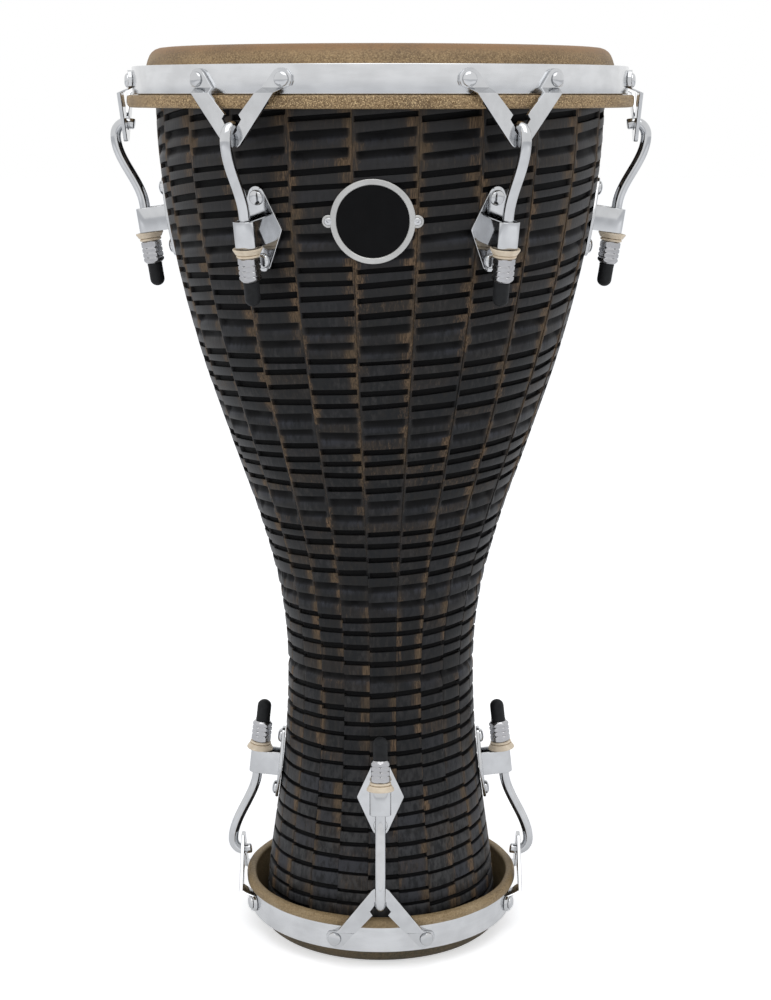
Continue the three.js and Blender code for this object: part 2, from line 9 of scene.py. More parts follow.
import bmesh
import bpy
import numpy as np
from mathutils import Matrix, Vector


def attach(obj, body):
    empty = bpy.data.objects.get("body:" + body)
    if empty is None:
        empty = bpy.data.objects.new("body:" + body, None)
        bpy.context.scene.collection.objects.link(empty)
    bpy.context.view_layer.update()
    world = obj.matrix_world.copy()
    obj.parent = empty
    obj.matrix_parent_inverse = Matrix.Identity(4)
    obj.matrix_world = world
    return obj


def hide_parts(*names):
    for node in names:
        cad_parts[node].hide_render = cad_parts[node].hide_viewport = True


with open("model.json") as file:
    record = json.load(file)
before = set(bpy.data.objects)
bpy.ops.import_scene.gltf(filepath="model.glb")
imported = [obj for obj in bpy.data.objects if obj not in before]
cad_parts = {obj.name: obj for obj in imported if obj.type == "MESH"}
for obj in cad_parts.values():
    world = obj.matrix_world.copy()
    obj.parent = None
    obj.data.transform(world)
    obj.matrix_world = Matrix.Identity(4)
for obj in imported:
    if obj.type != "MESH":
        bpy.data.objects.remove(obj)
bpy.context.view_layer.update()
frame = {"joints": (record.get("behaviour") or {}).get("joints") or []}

MM = 0.001

# Shell
DRUM_HEIGHT = 695.3
SHELL_LOW = 1.9
SHELL_HIGH = 693.4
WAIST_HEIGHT = 215
WAIST_RADIUS = 74.2
BOWL_RADIUS = 169.5
FOOT_RADIUS = 94.6
SHELL_WALL = 12
BEARING_EDGE = 6.5

# Points of the shell's outline, as (share of the way from the waist to an end, share of the flare there)
BOWL_FLARE = [(0.05, 0.006), (0.14, 0.063), (0.25, 0.203), (0.38, 0.4225), (0.53, 0.669), (0.68, 0.855),
              (0.84, 0.974), (1, 1)]
FOOT_FLARE = [(0.17, 0.05), (0.36, 0.21), (0.58, 0.52), (0.8, 0.83), (1, 1)]
STAVES = 23
STAVE_START = np.radians(9.3)
HALF_STAVE = np.pi / STAVES

# Carving: groups of two scoops and four kerfs. The upper edge of each group's first scoop is a share of the
# drum's height, and the upper edges in a group are shares of the way to the next group.
GROUP_SHARES = np.array([1.016, 0.917, 0.817, 0.723, 0.624, 0.532, 0.431, 0.325, 0.222, 0.119, 0.018])
EDGE_SHARES = np.array([0, 0.18, 0.357, 0.51, 0.672, 0.834])
SCOOPS_PER_GROUP = 2
LOWEST_SCOOP = 217
KERF_WIDTH = 4.5
KERF_DEPTH = 3.3
SCOOP_WIDTH = 10
SCOOP_DEPTH = 3
GROOVE_STRAY = 1.7
STAVE_STRAY = 1.9
UPPER_MARGIN = 8
LOWER_MARGIN = 9

# Heights over which the staves change: grooves stop short of the joints above the first, and the upper staves
# are rubbed by hands. The grooves narrow towards the foot, where the ridges wear more and more of them take a
# lighter tone.
GROOVES_END = (170, 400)
HANDLED = (360, 520)
MUCH_HANDLED = (430, 600)
NARROWING = (60, 260)
LIGHTER_FOOT = (90, 210)

# Skins and hoops. A head's values are its upward direction, the height of its playing face, the radii of the
# shell, the lap and the rim, the lap's drop from the face, the flesh hoop's width and height, and the drops
# between which the shoulder's edge tone ends: burnt on the large head, painted shade on the small one.
SKIN = 1.6
HEADS = {
    "top": {"up": 1, "face": DRUM_HEIGHT, "shell": BOWL_RADIUS, "hoop": 190.7, "rim": 186, "drop": 34.2,
            "core": (5.8, 5.2), "edge_burn_and_shade": (2, 7)},
    "bottom": {"up": -1, "face": 0, "shell": FOOT_RADIUS, "hoop": 110, "rim": 106.8, "drop": 34.7,
               "core": (3.8, 3.4), "edge_burn_and_shade": (9, 15)},
}
GAP = 0.3

# Rims and side plates
RIM_HEIGHT = 20.4
RIM_THICKNESS = 3.5
PLATE_THICKNESS = 3
PLATE_STANDOFF = 1
PLATE_DROP = 45
PLATE_BRIDGE = 9
RIVET_SPACING = 68.8
TAB_RADIUS = 7.5
FOLD_START = 5.5
FOLD_LENGTH = 3.5
RIVET_RADIUS = 5.2
RIVET_HEIGHT = 2.6

# Hooks and lugs
ROD = 4
ROD_STANDOFF = 19
HOOK_REACH = 8.2
HOOK_ARCH_DROP = 9
HOOK_TIP_REACH = 6.5
HOOK_TIP_SAG = 1
HOOK_BEND = 19
HOOK_MOUTH = 3
ARCH_SHARE = 0.55
ROD_IN_CAP = 14
LUG_LENGTH = 61
LUG_WIDTH = 37
LUG_END_RADIUS = 6.9
LUG_THICKNESS = 2.5
STRAP_WIDTH = 16.5
STRAP_LENGTH = 18.6
STRAP_THICKNESS = 2.5
BOLT_SPACING = 44.5
BOLT_RADIUS = 5.5
BOLT_HEIGHT = 3.2

# Washer, nut and cap, with starts as distances along the rod from the strap's middle. The nut's grooves are
# placed, and half as wide, as shares of its height.
BORE = 4.3
WASHER_START = 9.6
WASHER_RADIUS = 10.6
NUT_START = 16.3
NUT_HEIGHT = 16.8
NUT_FLATS = 14
NUT_GROOVES = (0.3, 0.52, 0.74)
NUT_GROOVE_WIDTH = 0.045
CAP_START = 33.4
CAP_LENGTH = 17.5
CAP_RADIUS = 5.7

# Badge
BADGE_HEIGHT = 576.5
BADGE_OFFSET = -4.8
BADGE_RADIUS = 29.2
BADGE_RING = 4.3
BADGE_SPACING = 61
BADGE_EAR = 4.4


# ---- Meshes


def grid_faces(rows, columns):
    """Quads (r, c), (r, c+1), (r+1, c+1), (r+1, c) of points counted row by row. Each row is a ring."""
    r = np.arange(rows - 1)[:, None]
    c = np.arange(columns)[None, :]
    after = (c + 1) % columns
    corners = [r * columns + c, r * columns + after, (r + 1) * columns + after, (r + 1) * columns + c]
    return np.stack(corners, -1).reshape(-1, 4)


def add_piece(name, grids, material, body, node, attributes=None, soft_angle=40):
    """Grids of points (rows, columns, 3) in millimetres become one welded mesh that rides on a body.

    A grid's columns close on themselves. Points that meet are welded, which closes seams and poles, and
    faces are turned outwards. Attributes hold one value per point of each grid, by name."""
    vertices, faces, values = [], [], {key: [] for key in attributes or {}}
    start = 0
    for i, grid in enumerate(grids):
        rows, columns = grid.shape[:2]
        vertices.append(grid.reshape(-1, 3) * MM)
        faces.append(grid_faces(rows, columns) + start)
        start += rows * columns
        for key in values:
            values[key].append(attributes[key][i].reshape(-1))
    vertices = np.concatenate(vertices)
    faces = np.concatenate(faces)
    mesh = bpy.data.meshes.new(name)
    mesh.from_pydata(vertices.tolist(), [], faces.tolist())
    for key, parts in values.items():
        layer = mesh.attributes.new(key, "FLOAT", "POINT")
        layer.data.foreach_set("value", np.concatenate(parts).astype(np.float32))
    work = bmesh.new()
    work.from_mesh(mesh)
    bmesh.ops.remove_doubles(work, verts=work.verts, dist=0.00001)
    bmesh.ops.dissolve_degenerate(work, edges=work.edges, dist=0.000001)
    bmesh.ops.recalc_face_normals(work, faces=work.faces)
    work.to_mesh(mesh)
    work.free()
    mesh.materials.append(material)
    piece = bpy.data.objects.new(name, mesh)
    bpy.context.scene.collection.objects.link(piece)
    mesh.shade_smooth()
    mesh.set_sharp_from_angle(angle=np.radians(soft_angle))
    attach(piece, body)
    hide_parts(node)


def rounded(corners, radius, steps=3, loop=True):
    """Each corner C turns into (1-t)^2 A + 2t(1-t) C + t^2 B, between points A and B on the two sides.

    A and B lie the radius away from C, or just under half a side where the side is short."""
    c = np.asarray(corners, float)
    before, after = np.roll(c, 1, 0) - c, np.roll(c, -1, 0) - c
    back, on = (np.linalg.norm(side, axis=1, keepdims=True) for side in (before, after))
    wanted = np.broadcast_to(np.asarray(radius, float), len(c))[:, None]
    reach = np.minimum(wanted, 0.48 * np.minimum(back, on))
    if not loop:
        reach[[0, -1]] = 0
    t = np.linspace(0, 1, steps + 1)[None, :, None]
    a, b = (c + side / length * reach for side, length in ((before, back), (after, on)))
    curve = (1 - t) ** 2 * a[:, None] + 2 * t * (1 - t) * c[:, None] + t**2 * b[:, None]
    return curve.reshape(-1, c.shape[1])


def around(sides):
    """Angles once round a circle."""
    return 2 * np.pi * np.arange(sides) / sides


def polar(radius, azimuth, height):
    """The points (r sin a, -r cos a, z)."""
    radius, azimuth, height = np.broadcast_arrays(radius, azimuth, height)
    return np.stack([radius * np.sin(azimuth), -radius * np.cos(azimuth), height], -1)


def spun(profile, sides):
    """A profile of (radius, height) points turned about Z: (r sin a, -r cos a, z)."""
    radius, height = np.asarray(profile, float).T[..., None]
    return polar(radius, around(sides), height)


def closed(profile):
    """A profile whose first point is repeated at its end, so that its ring closes."""
    return np.concatenate([profile, profile[:1]])


def dome(radius, base, height, steps):
    """A domed head's profile, nearly a quarter ellipse: (radius cos^0.8 t, base + height sin t)."""
    t = np.linspace(0, np.pi / 2, steps)
    return np.stack([radius * np.cos(t) ** 0.8, base + height * np.sin(t)], -1)


def heading(path):
    """The unit vector along a path at each of its points."""
    ahead = np.gradient(path, axis=0)
    return ahead / np.linalg.norm(ahead, axis=1, keepdims=True)


def carried(section, path, across, out, sizes=None):
    """A section of (u, v) points carried along a path: P + size (u across + v out), row by row."""
    section, path = np.asarray(section, float), np.asarray(path, float)
    sizes = np.ones(len(path)) if sizes is None else np.asarray(sizes, float)
    offset = section[None, :, :1] * across[:, None] + section[None, :, 1:] * out[:, None]
    return path[:, None] + sizes[:, None, None] * offset


def capped(path, across, out, bevel, reach):
    """A path with a shrunk first and last station, for ends that close with a bevel.

    Stations of size 0 and of size 1 - bevel/reach stand at each end, a bevel's length before full size."""
    ends = np.concatenate([path[:1], path[:1], path, path[-1:], path[-1:]])
    first, last = path[1] - path[0], path[-1] - path[-2]
    ends[2] = path[0] + first / np.linalg.norm(first) * bevel
    ends[-3] = path[-1] - last / np.linalg.norm(last) * bevel
    sizes = np.ones(len(ends))
    sizes[[0, -1]] = 0
    sizes[[1, -2]] = 1 - bevel / reach
    pick = np.concatenate([[0, 0], np.arange(len(path)), [-1, -1]])
    return ends, across[pick], out[pick], sizes


def circle(radius, sides):
    """Points (r cos a, r sin a) once round."""
    a = around(sides)
    return np.stack([radius * np.cos(a), radius * np.sin(a)], -1)


def bezier(p0, p1, p2, p3, steps):
    """The cubic (1-t)^3 p0 + 3t(1-t)^2 p1 + 3t^2(1-t) p2 + t^3 p3, without its first point."""
    t = np.linspace(0, 1, steps + 1)[1:, None]
    return (1 - t) ** 3 * p0 + 3 * t * (1 - t) ** 2 * p1 + 3 * t**2 * (1 - t) * p2 + t**3 * p3


def smooth_step(low, high, value):
    """3t^2 - 2t^3, where t is the share of the way from low to high, held between 0 and 1."""
    t = np.clip((value - low) / (high - low), 0, 1)
    return t * t * (3 - 2 * t)


def hashed(*numbers):
    """A repeatable random number from 0 to 1: the fraction of sin(weighted sum) times a large number."""
    total = sum(np.asarray(n, float) * w for n, w in zip(numbers, (12.9898, 78.233, 37.719)))
    return np.mod(np.abs(np.sin(total + 0.5)) * 43758.5453, 1)


# ---- Materials


class Value:
    """A node socket that takes arithmetic: an expression adds its Math nodes."""

    def __init__(self, shader, socket):
        self.shader, self.socket = shader, socket

    def _math(self, operation, *values):
        return self.shader.node("ShaderNodeMath", {"operation": operation}, values)

    def __add__(self, other):
        return self._math("ADD", self, other)

    def __sub__(self, other):
        return self._math("SUBTRACT", self, other)

    def __rsub__(self, other):
        return self._math("SUBTRACT", other, self)

    def __mul__(self, other):
        return self._math("MULTIPLY", self, other)

    __radd__ = __add__
    __rmul__ = __mul__

    def between(self, low, high):
        """The smooth share of the way from low to high."""
        return self.shader.node("ShaderNodeMapRange", {"interpolation_type": "SMOOTHSTEP", "clamp": True},
                                {"Value": self, "From Min": low, "From Max": high})


class Shader:
    """A material with a Principled surface, and one method that makes its nodes."""

    def __init__(self, name, **settings):
        self.material = bpy.data.materials.new(name)
        self.material.use_nodes = True
        self.tree = self.material.node_tree
        self.surface = next(n for n in self.tree.nodes if n.type == "BSDF_PRINCIPLED")
        for socket, value in settings.items():
            self.set(socket.replace("_", " "), value)

    def feed(self, target, value):
        """Link or set one socket. A colour gets its alpha."""
        if isinstance(value, Value):
            self.tree.links.new(value.socket, target)
        elif isinstance(value, tuple) and target.type == "RGBA":
            target.default_value = (*value, 1.0)
        else:
            target.default_value = value

    def set(self, name, value):
        self.feed(self.surface.inputs[name], value)

    def node(self, kind, settings=None, inputs=(), output=0):
        """A node of a kind, with its settings made first, then the values or links of its sockets."""
        made = self.tree.nodes.new(kind)
        for key, value in (settings or {}).items():
            if key == "stops":
                ramp = made.color_ramp.elements
                for i, (place, color) in enumerate(value):
                    stop = ramp[i] if i < len(ramp) else ramp.new(place)
                    stop.position, stop.color = place, (*color, 1.0)
            else:
                setattr(made, key, value)
        pairs = inputs.items() if isinstance(inputs, dict) else enumerate(inputs)
        for key, value in pairs:
            self.feed(made.inputs[key], value)
        return Value(self, made.outputs[output])

    def place(self, scale=(1, 1, 1)):
        """Object coordinates in metres, multiplied axis by axis."""
        found = self.node("ShaderNodeTexCoord", output="Object")
        return self.node("ShaderNodeMapping", inputs={"Vector": found, "Scale": scale})

    def noise(self, scale, stretch=(1, 1, 1), detail=3.0, roughness=0.5):
        return self.node("ShaderNodeTexNoise", inputs={"Vector": self.place(stretch), "Scale": scale,
                                                       "Detail": detail, "Roughness": roughness})

    def attribute(self, name):
        return self.node("ShaderNodeAttribute", {"attribute_name": name}, output="Fac")

    def mix(self, share, first, second):
        """A colour that runs from the first to the second with the share."""
        return self.node("ShaderNodeMix", {"data_type": "RGBA"}, {0: share, 6: first, 7: second}, output=2)

    def bump(self, height, strength, distance):
        self.set("Normal", self.node("ShaderNodeBump", inputs={"Strength": strength, "Distance": distance,
                                                               "Height": height}))


# A noise stretched along the grain of an upright stave
ALONG_GRAIN = (1, 1, 0.06)

# Bare wood
DARK_GRAIN = (0.034, 0.024, 0.016)
PALE_GRAIN = (0.17, 0.112, 0.068)
DULL_GRAIN = (0.072, 0.054, 0.034)

# Lacquer: random tones and a painted grey sheen on the ridges, lighter greys over the bowl and at the foot,
# painted shade in the grooves, which also darkens the joint lines, painted sheen in the scoops, which also
# lightens some ridges, and lacquer where hands have rubbed it
COLD_LACQUER = (0.0112, 0.012, 0.0132)
WARM_LACQUER = (0.0162, 0.0152, 0.014)
PAINTED_GREY_SHEEN = (0.038, 0.037, 0.0375)
BOWL_GREY = (0.033, 0.0315, 0.031)
FOOT_GREY = (0.052, 0.052, 0.0525)
GROOVE_SHADE_AND_JOINT_LINE = (0.0031, 0.0031, 0.0034)
PAINTED_SHEEN_AND_RIDGE_TONE = (0.032, 0.034, 0.042)
RUBBED_LACQUER = (0.052, 0.037, 0.025)

# Speckles of the laps
DARK_SPECK = (0.13, 0.075, 0.028)
GOLD_FLECK = (0.72, 0.53, 0.29)


def make_lacquer():
    """Black lacquer on carved staves, rubbed through to brown grain at the joints.

    Its colour holds a painted grey sheen on the ridges, painted shade in the grooves and painted sheen in the
    scoops.
    """
    shader = Shader("lacquer_on_wood", Specular_IOR_Level=0.14)
    wear = shader.attribute("wear")
    depth = shader.attribute("depth")
    painted_sheen_and_tone = shader.attribute("painted_sheen_and_tone")
    streaks = shader.noise(520, ALONG_GRAIN, 4, 0.6)
    patches = shader.noise(48, (1, 1, 0.5), 3)
    blotches = shader.noise(300, (1, 1, 0.4), 3, 0.6)
    fine = shader.noise(1500, ALONG_GRAIN, 3, 0.7)
    height = shader.node("ShaderNodeSeparateXYZ", inputs=[shader.place()], output=2)
    foot = 1 - height.between(0.08, 0.2)
    bowl = height.between(0.44, 0.64)
    bare = wear * 1.3 + bowl * 0.08 + (streaks - 0.5) * 1.5 + (fine - 0.5) * 0.9 + (patches - 0.5) * 0.4
    bare = bare.between(0.28, 1.2)
    bare = bare * (1 - depth.between(0.05, 0.3))
    wood = shader.mix(fine.between(0.34, 0.66), DARK_GRAIN, PALE_GRAIN)
    wood = shader.mix(patches.between(0.35, 0.65) * 0.6, wood, DULL_GRAIN)
    face = shader.mix(blotches.between(0.35, 0.75), COLD_LACQUER, WARM_LACQUER)
    # Painted grey sheen: lighter grey in blotches and streaks on the ridges
    grey_sheen_share = blotches.between(0.45, 0.75) * patches.between(0.38, 0.66)
    face = shader.mix(grey_sheen_share * 0.8 + streaks.between(0.55, 0.8) * 0.3, face, PAINTED_GREY_SHEEN)
    face = shader.mix(bowl * 0.55, face, BOWL_GREY)
    # Lighter grey blotches towards the foot
    face = shader.mix(foot * (0.1 + blotches.between(0.36, 0.66) * 0.75), face, FOOT_GREY)
    # Painted shade in the grooves, following the depth value, which also darkens the joint lines
    paint = shader.mix(depth.between(0.03, 0.45), face, GROOVE_SHADE_AND_JOINT_LINE)
    # Painted sheen in the scoops, and a lighter random tone on some ridges
    paint = shader.mix(painted_sheen_and_tone * blotches.between(0.28, 0.6), paint, PAINTED_SHEEN_AND_RIDGE_TONE)
    paint = shader.mix(wear * (1 - depth) * patches.between(0.3, 0.55) * 0.9, paint, RUBBED_LACQUER)
    shader.set("Base Color", shader.mix(bare, paint, wood))
    shader.set("Roughness", 0.4 + bare * 0.2 + depth * 0.35 + (blotches - 0.5) * 0.14)
    shader.bump(streaks * 0.7 + blotches * 0.6, 0.4, 0.0004)
    return shader.material


def make_hide(name, dark, middle, pale, edge_burnt_and_shade_colour, edge_burn_and_shade, speckle, roughness):
    """Rawhide: clouded tan with fine fibres, speckled with gold on the lap, with an edge colour at the
    shoulder.

    The edge colour is a burnt tone on the large head and painted shade on the small head.
    """
    shader = Shader(name, Specular_IOR_Level=0.35)
    lap = shader.attribute("lap")
    edge = shader.attribute("edge")
    clouds = shader.noise(22, (1, 1, 2.5), 4)
    fibres = shader.noise(420, (1, 1, 1.6), 3, 0.6)
    specks = shader.noise(780, detail=2)
    flecks = shader.noise(1150, detail=2)
    tone = (clouds - 0.5) * 1.1 + (fibres - 0.5) * 0.75 + (specks - 0.5) * 0.65 + 0.49
    colour = shader.node("ShaderNodeValToRGB", {"stops": [(0.2, dark), (0.5, middle), (0.8, pale)]}, [tone])
    # The shoulder's edge colour: a burnt tone on the large head, painted shade on the small head
    colour = shader.mix(edge * (edge_burn_and_shade + (clouds - 0.5) * 1.2 + (specks - 0.5) * 1.2), colour, edge_burnt_and_shade_colour)
    colour = shader.mix(lap * (1 - specks.between(0.38, 0.5)) * speckle, colour, DARK_SPECK)
    colour = shader.mix(lap * flecks.between(0.53, 0.64) * speckle, colour, GOLD_FLECK)
    shader.set("Base Color", colour)
    shader.set("Roughness", roughness + (fibres - 0.5) * 0.2)
    shader.bump(fibres + specks * 0.6, 0.3, 0.0003)
    return shader.material


def make_metal(name, colour, roughness, streak=(1, 1, 1), grain=0.06, bump=0.02, scale=160):
    """Plated or bare metal whose tone and roughness wander a little, with faint ripples along its streaks."""
    shader = Shader(name, Metallic=1.0)
    ripple = shader.noise(scale, streak, 3)
    cloud = shader.noise(45, detail=2)
    dull = tuple(0.86 * c for c in colour)
    shader.set("Base Color", shader.mix((cloud + ripple * 0.5).between(0.5, 1.0), dull, colour))
    shader.set("Roughness", roughness + (ripple - 0.5) * grain + (cloud - 0.5) * grain)
    shader.bump(ripple, bump, 0.0003)
    return shader.material


def make_plain(name, first, second, roughness, scale, bump, specular=0.5):
    """A moulded or enamelled finish: two close tones in soft clouds, with a fine skin of bumps."""
    shader = Shader(name, Specular_IOR_Level=specular)
    clouds = shader.noise(scale, detail=3)
    fine = shader.noise(scale * 9, detail=2)
    shader.set("Base Color", shader.mix(clouds.between(0.3, 0.7), first, second))
    shader.set("Roughness", roughness + (fine - 0.5) * 0.1)
    shader.bump(fine, bump, 0.0002)
    return shader.material


lacquer = make_lacquer()
top_hide = make_hide("large_head_hide", dark=(0.15, 0.1, 0.055), middle=(0.25, 0.17, 0.09),
                     pale=(0.37, 0.25, 0.13), edge_burnt_and_shade_colour=(0.27, 0.14, 0.06), edge_burn_and_shade=0.62, speckle=0.8, roughness=0.6)
# The small head's near-black edge colour is painted shade on the strip by the floor
bottom_hide = make_hide("small_head_hide", dark=(0.17, 0.115, 0.055), middle=(0.26, 0.185, 0.095),
                        pale=(0.34, 0.255, 0.15), edge_burnt_and_shade_colour=(0.055, 0.044, 0.026), edge_burn_and_shade=0.85, speckle=0.22,
                        roughness=0.55)
chrome = make_metal("bright_chrome", (0.61, 0.62, 0.635), 0.1, grain=0.05, bump=0.012)
band_chrome = make_metal("rim_chrome", (0.69, 0.7, 0.715), 0.18, (1, 1, 4), 0.06, 0.015, 60)
brushed = make_metal("brushed_badge_ring", (0.54, 0.54, 0.53), 0.36, grain=0.12, bump=0.1, scale=900)
nut_plate = make_metal("dull_plated_nut", (0.5, 0.5, 0.515), 0.22, grain=0.1, bump=0.05, scale=420)
hoop_steel = make_metal("plain_steel", (0.5, 0.5, 0.51), 0.4)
nylon = make_plain("cream_nylon", (0.66, 0.55, 0.41), (0.76, 0.65, 0.5), 0.42, 220, 0.15)
rubber = make_plain("black_rubber", (0.009, 0.0095, 0.0105), (0.014, 0.0147, 0.016), 0.6, 300, 0.35, 0.2)
enamel = make_plain("black_badge_enamel", (0.0022, 0.0022, 0.0026), (0.0032, 0.0032, 0.0037), 0.2, 80, 0.02,
                    0.08)


# ---- Shell


def shell_curve():
    """Heights and radii of the shell's outside, from the foot to the bowl."""
    below, foot = WAIST_HEIGHT - SHELL_LOW, FOOT_RADIUS - WAIST_RADIUS
    above, bowl = SHELL_HIGH - WAIST_HEIGHT, BOWL_RADIUS - WAIST_RADIUS
    lower = [(SHELL_LOW + below * (1 - way), WAIST_RADIUS + foot * flare) for way, flare in FOOT_FLARE]
    upper = [(WAIST_HEIGHT + above * way, WAIST_RADIUS + bowl * flare) for way, flare in BOWL_FLARE]
    return np.array([*lower[::-1], (WAIST_HEIGHT, WAIST_RADIUS), *upper]).T


def shell_radius(height):
    """The outside radius at a height: the cubic through two neighbouring points of the curve, whose slopes
    there are the curve's mean slopes to the points on either side."""
    z, r = shell_curve()
    slope = np.gradient(r, z)
    i = np.clip(np.searchsorted(z, height) - 1, 0, len(z) - 2)
    span = z[i + 1] - z[i]
    t = np.clip((height - z[i]) / span, 0, 1)
    return ((2 * t**3 - 3 * t**2 + 1) * r[i] + (t**3 - 2 * t**2 + t) * span * slope[i]
            + (3 * t**2 - 2 * t**3) * r[i + 1] + (t**3 - t**2) * span * slope[i + 1])


def groove_rows(stave):
    """Heights, widths, depths and tilts of a stave's grooves, from the large head down, and which are scoops.

    Below the lowest scoop's height all grooves are kerfs. In group g an upper edge lies at
    G(g) + share x (G(g+1) - G(g)), and strays a little from that by a repeatable random number of its stave
    and place. A groove's height is that of its middle."""
    tops = GROUP_SHARES * DRUM_HEIGHT
    upper = (tops[:-1, None] + EDGE_SHARES * np.diff(tops)[:, None]).reshape(-1)
    j = np.arange(len(upper))
    scoop = (j % len(EDGE_SHARES) < SCOOPS_PER_GROUP) & (upper > LOWEST_SCOOP)
    width = np.where(scoop, SCOOP_WIDTH, KERF_WIDTH) * (0.82 + 0.32 * hashed(stave, j, 3))
    width *= 1 - 0.28 * (1 - smooth_step(*NARROWING, upper)) * (0.4 + 1.2 * hashed(stave, j, 6))
    depth = np.where(scoop, SCOOP_DEPTH, KERF_DEPTH) * (0.8 + 0.3 * hashed(stave, j, 5))
    height = upper - width / 2
    height = height + GROOVE_STRAY * (hashed(stave, j) - 0.5) + STAVE_STRAY * (hashed(stave, 7.7) - 0.5)
    slope = 0.8 + 1.6 * (height / SHELL_HIGH) ** 2
    tilt = slope + 1.0 * (hashed(stave, j, 9) - 0.5) + 0.9 * (hashed(stave, 4.4) - 0.5)
    keep = (height < SHELL_HIGH - UPPER_MARGIN) & (height > SHELL_LOW + LOWER_MARGIN)
    return [values[keep] for values in (height, width, depth, tilt, scoop)]


# A kerf's cut and a scoop's cut, as (share of the width below its upper edge, share of the depth)
KERF_CUT = np.array([(-0.1, 0), (0.0, 0.06), (0.05, 0.9), (0.16, 1.0), (0.6, 1.0), (0.93, 0.92), (1.0, 0.06),
                     (1.12, 0)])
SCOOP_CUT = np.array([(-0.05, 0), (0.0, 0.05), (0.03, 0.9), (0.16, 1.0), (0.42, 0.7), (0.64, 0.34),
                      (0.85, 0.09), (1.05, 0)])
# Painted shade along a scoop's cut, darkest under its upper lip, and painted sheen on its lower floor
SCOOP_PAINTED_SHADE = np.array([0, 0.4, 1, 1, 0.85, 0.12, 0, 0])
SCOOP_PAINTED_SHEEN = np.array([0, 0, 0, 0, 0.2, 1.0, 0.6, 0])
# Columns of a stave from its middle to its edge, as shares of its half width, and rows of a bearing edge
STAVE_COLUMNS = (0.1, 0.3, 0.52, 0.65, 0.74, 0.81, 0.87, 0.915, 0.955, 0.985, 1)
EDGE_ROWS = 5
# Points of a stave's section on its inside, and the depth of the line at a joint
INNER_POINTS = 4
JOINT_DEPTH = 0.3
# Height over which the wear on one side of a stave wanders
WEAR_STEP = 65
WEAR_KNOTS = 12


class StaveRows:
    """A stave's outside in rows and columns: each row's height and groove, and each point's place.

    The rows run down from the large head: a bearing edge, each groove's cut, the other bearing edge."""

    def __init__(self, stave):
        self.stave = stave
        height, width, depth, tilt, scoop = groove_rows(stave)
        cut = np.where(scoop[:, None, None], SCOOP_CUT, KERF_CUT)
        share, low = cut[..., 0], cut[..., 1]
        quarter = np.linspace(0, np.pi / 2, EDGE_ROWS)
        bevel = BEARING_EDGE * (1 - np.cos(quarter))
        inset = BEARING_EDGE * (1 - np.sin(quarter))
        cuts = (height[:, None] + width[:, None] * (0.5 - share)).reshape(-1)
        self.z = np.concatenate([SHELL_HIGH - bevel, cuts, SHELL_LOW + bevel[::-1]])
        self.inset = np.concatenate([inset, np.zeros(len(cuts)), inset[::-1]])[:, None]

        def column(values):
            """One value per row, nought at the bearing edges."""
            rows = np.broadcast_to(values, share.shape).reshape(-1).astype(float)
            return np.pad(rows, EDGE_ROWS)[:, None]

        number = np.arange(len(height))[:, None]
        self.carve = column(depth[:, None] * low)
        self.slant = column(tilt[:, None])
        self.soft = column(scoop[:, None])
        # Painted shade along each cut (the share of a kerf's depth, or a scoop's listed shade), and painted
        # sheen in scoops
        self.dark = column(np.where(scoop[:, None], SCOOP_PAINTED_SHADE, low))
        self.shine = column(scoop[:, None] * SCOOP_PAINTED_SHEEN)
        self.groove = column(number)
        self.ridge = column(number + (share > 0.5))
        self.ridge[-EDGE_ROWS:] = len(height)
        self.across = np.array([*(-c for c in reversed(STAVE_COLUMNS)), *STAVE_COLUMNS])
        self.side = np.sign(self.across)
        self.radius = shell_radius(self.z)[:, None]
        self.from_joint = (1 - np.abs(self.across)) * self.radius * HALF_STAVE
        self.bowl = self.above(GROOVES_END)
        start = 0.35 + 1.1 * hashed(self.groove, stave, self.side)
        run_out = smooth_step(start, start + 1.5 + 2.2 * self.soft, self.from_joint)
        self.reach = 1 - self.bowl * (1 - run_out)
        self.joint = JOINT_DEPTH * (1 - smooth_step(0.0, 0.6, self.from_joint))

    def above(self, heights):
        """The smooth share of the way up between two heights, row by row."""
        return smooth_step(*heights, self.z)[:, None]


def stave_grid(rows):
    """One stave as rows of closed rings: the carved outside, then the two sides and the inside.

    A point outside lies at R(z) - depth x reach, where reach falls from 1 to 0 towards the stave's edges,
    less so near the foot, and its row is turned by the groove's tilt."""
    middle = STAVE_START + HALF_STAVE + 2 * HALF_STAVE * rows.stave
    sway = 1 + 0.3 * rows.soft * np.sin(rows.across * 4 + 6.3 * hashed(rows.stave, rows.groove, 2))
    outside = rows.radius - rows.inset - rows.carve * rows.reach * sway - rows.joint
    rise = rows.z[:, None] + rows.slant * rows.across * rows.radius / BOWL_RADIUS
    angle = middle + HALF_STAVE * rows.across
    back = np.array([HALF_STAVE, HALF_STAVE / 3, -HALF_STAVE / 3, -HALF_STAVE])
    ring_r = np.concatenate([outside, np.repeat(rows.radius - SHELL_WALL, INNER_POINTS, 1)], 1)
    ring_a = np.concatenate([angle, middle + back])
    ring_z = np.concatenate([rise, np.repeat(rows.z[:, None], INNER_POINTS, 1)], 1)
    grid = polar(ring_r, ring_a, ring_z)
    ends = [np.repeat(row.mean(0)[None, None], grid.shape[1], 1) for row in (grid[0], grid[-1])]
    return np.concatenate([ends[0], grid, ends[1]])


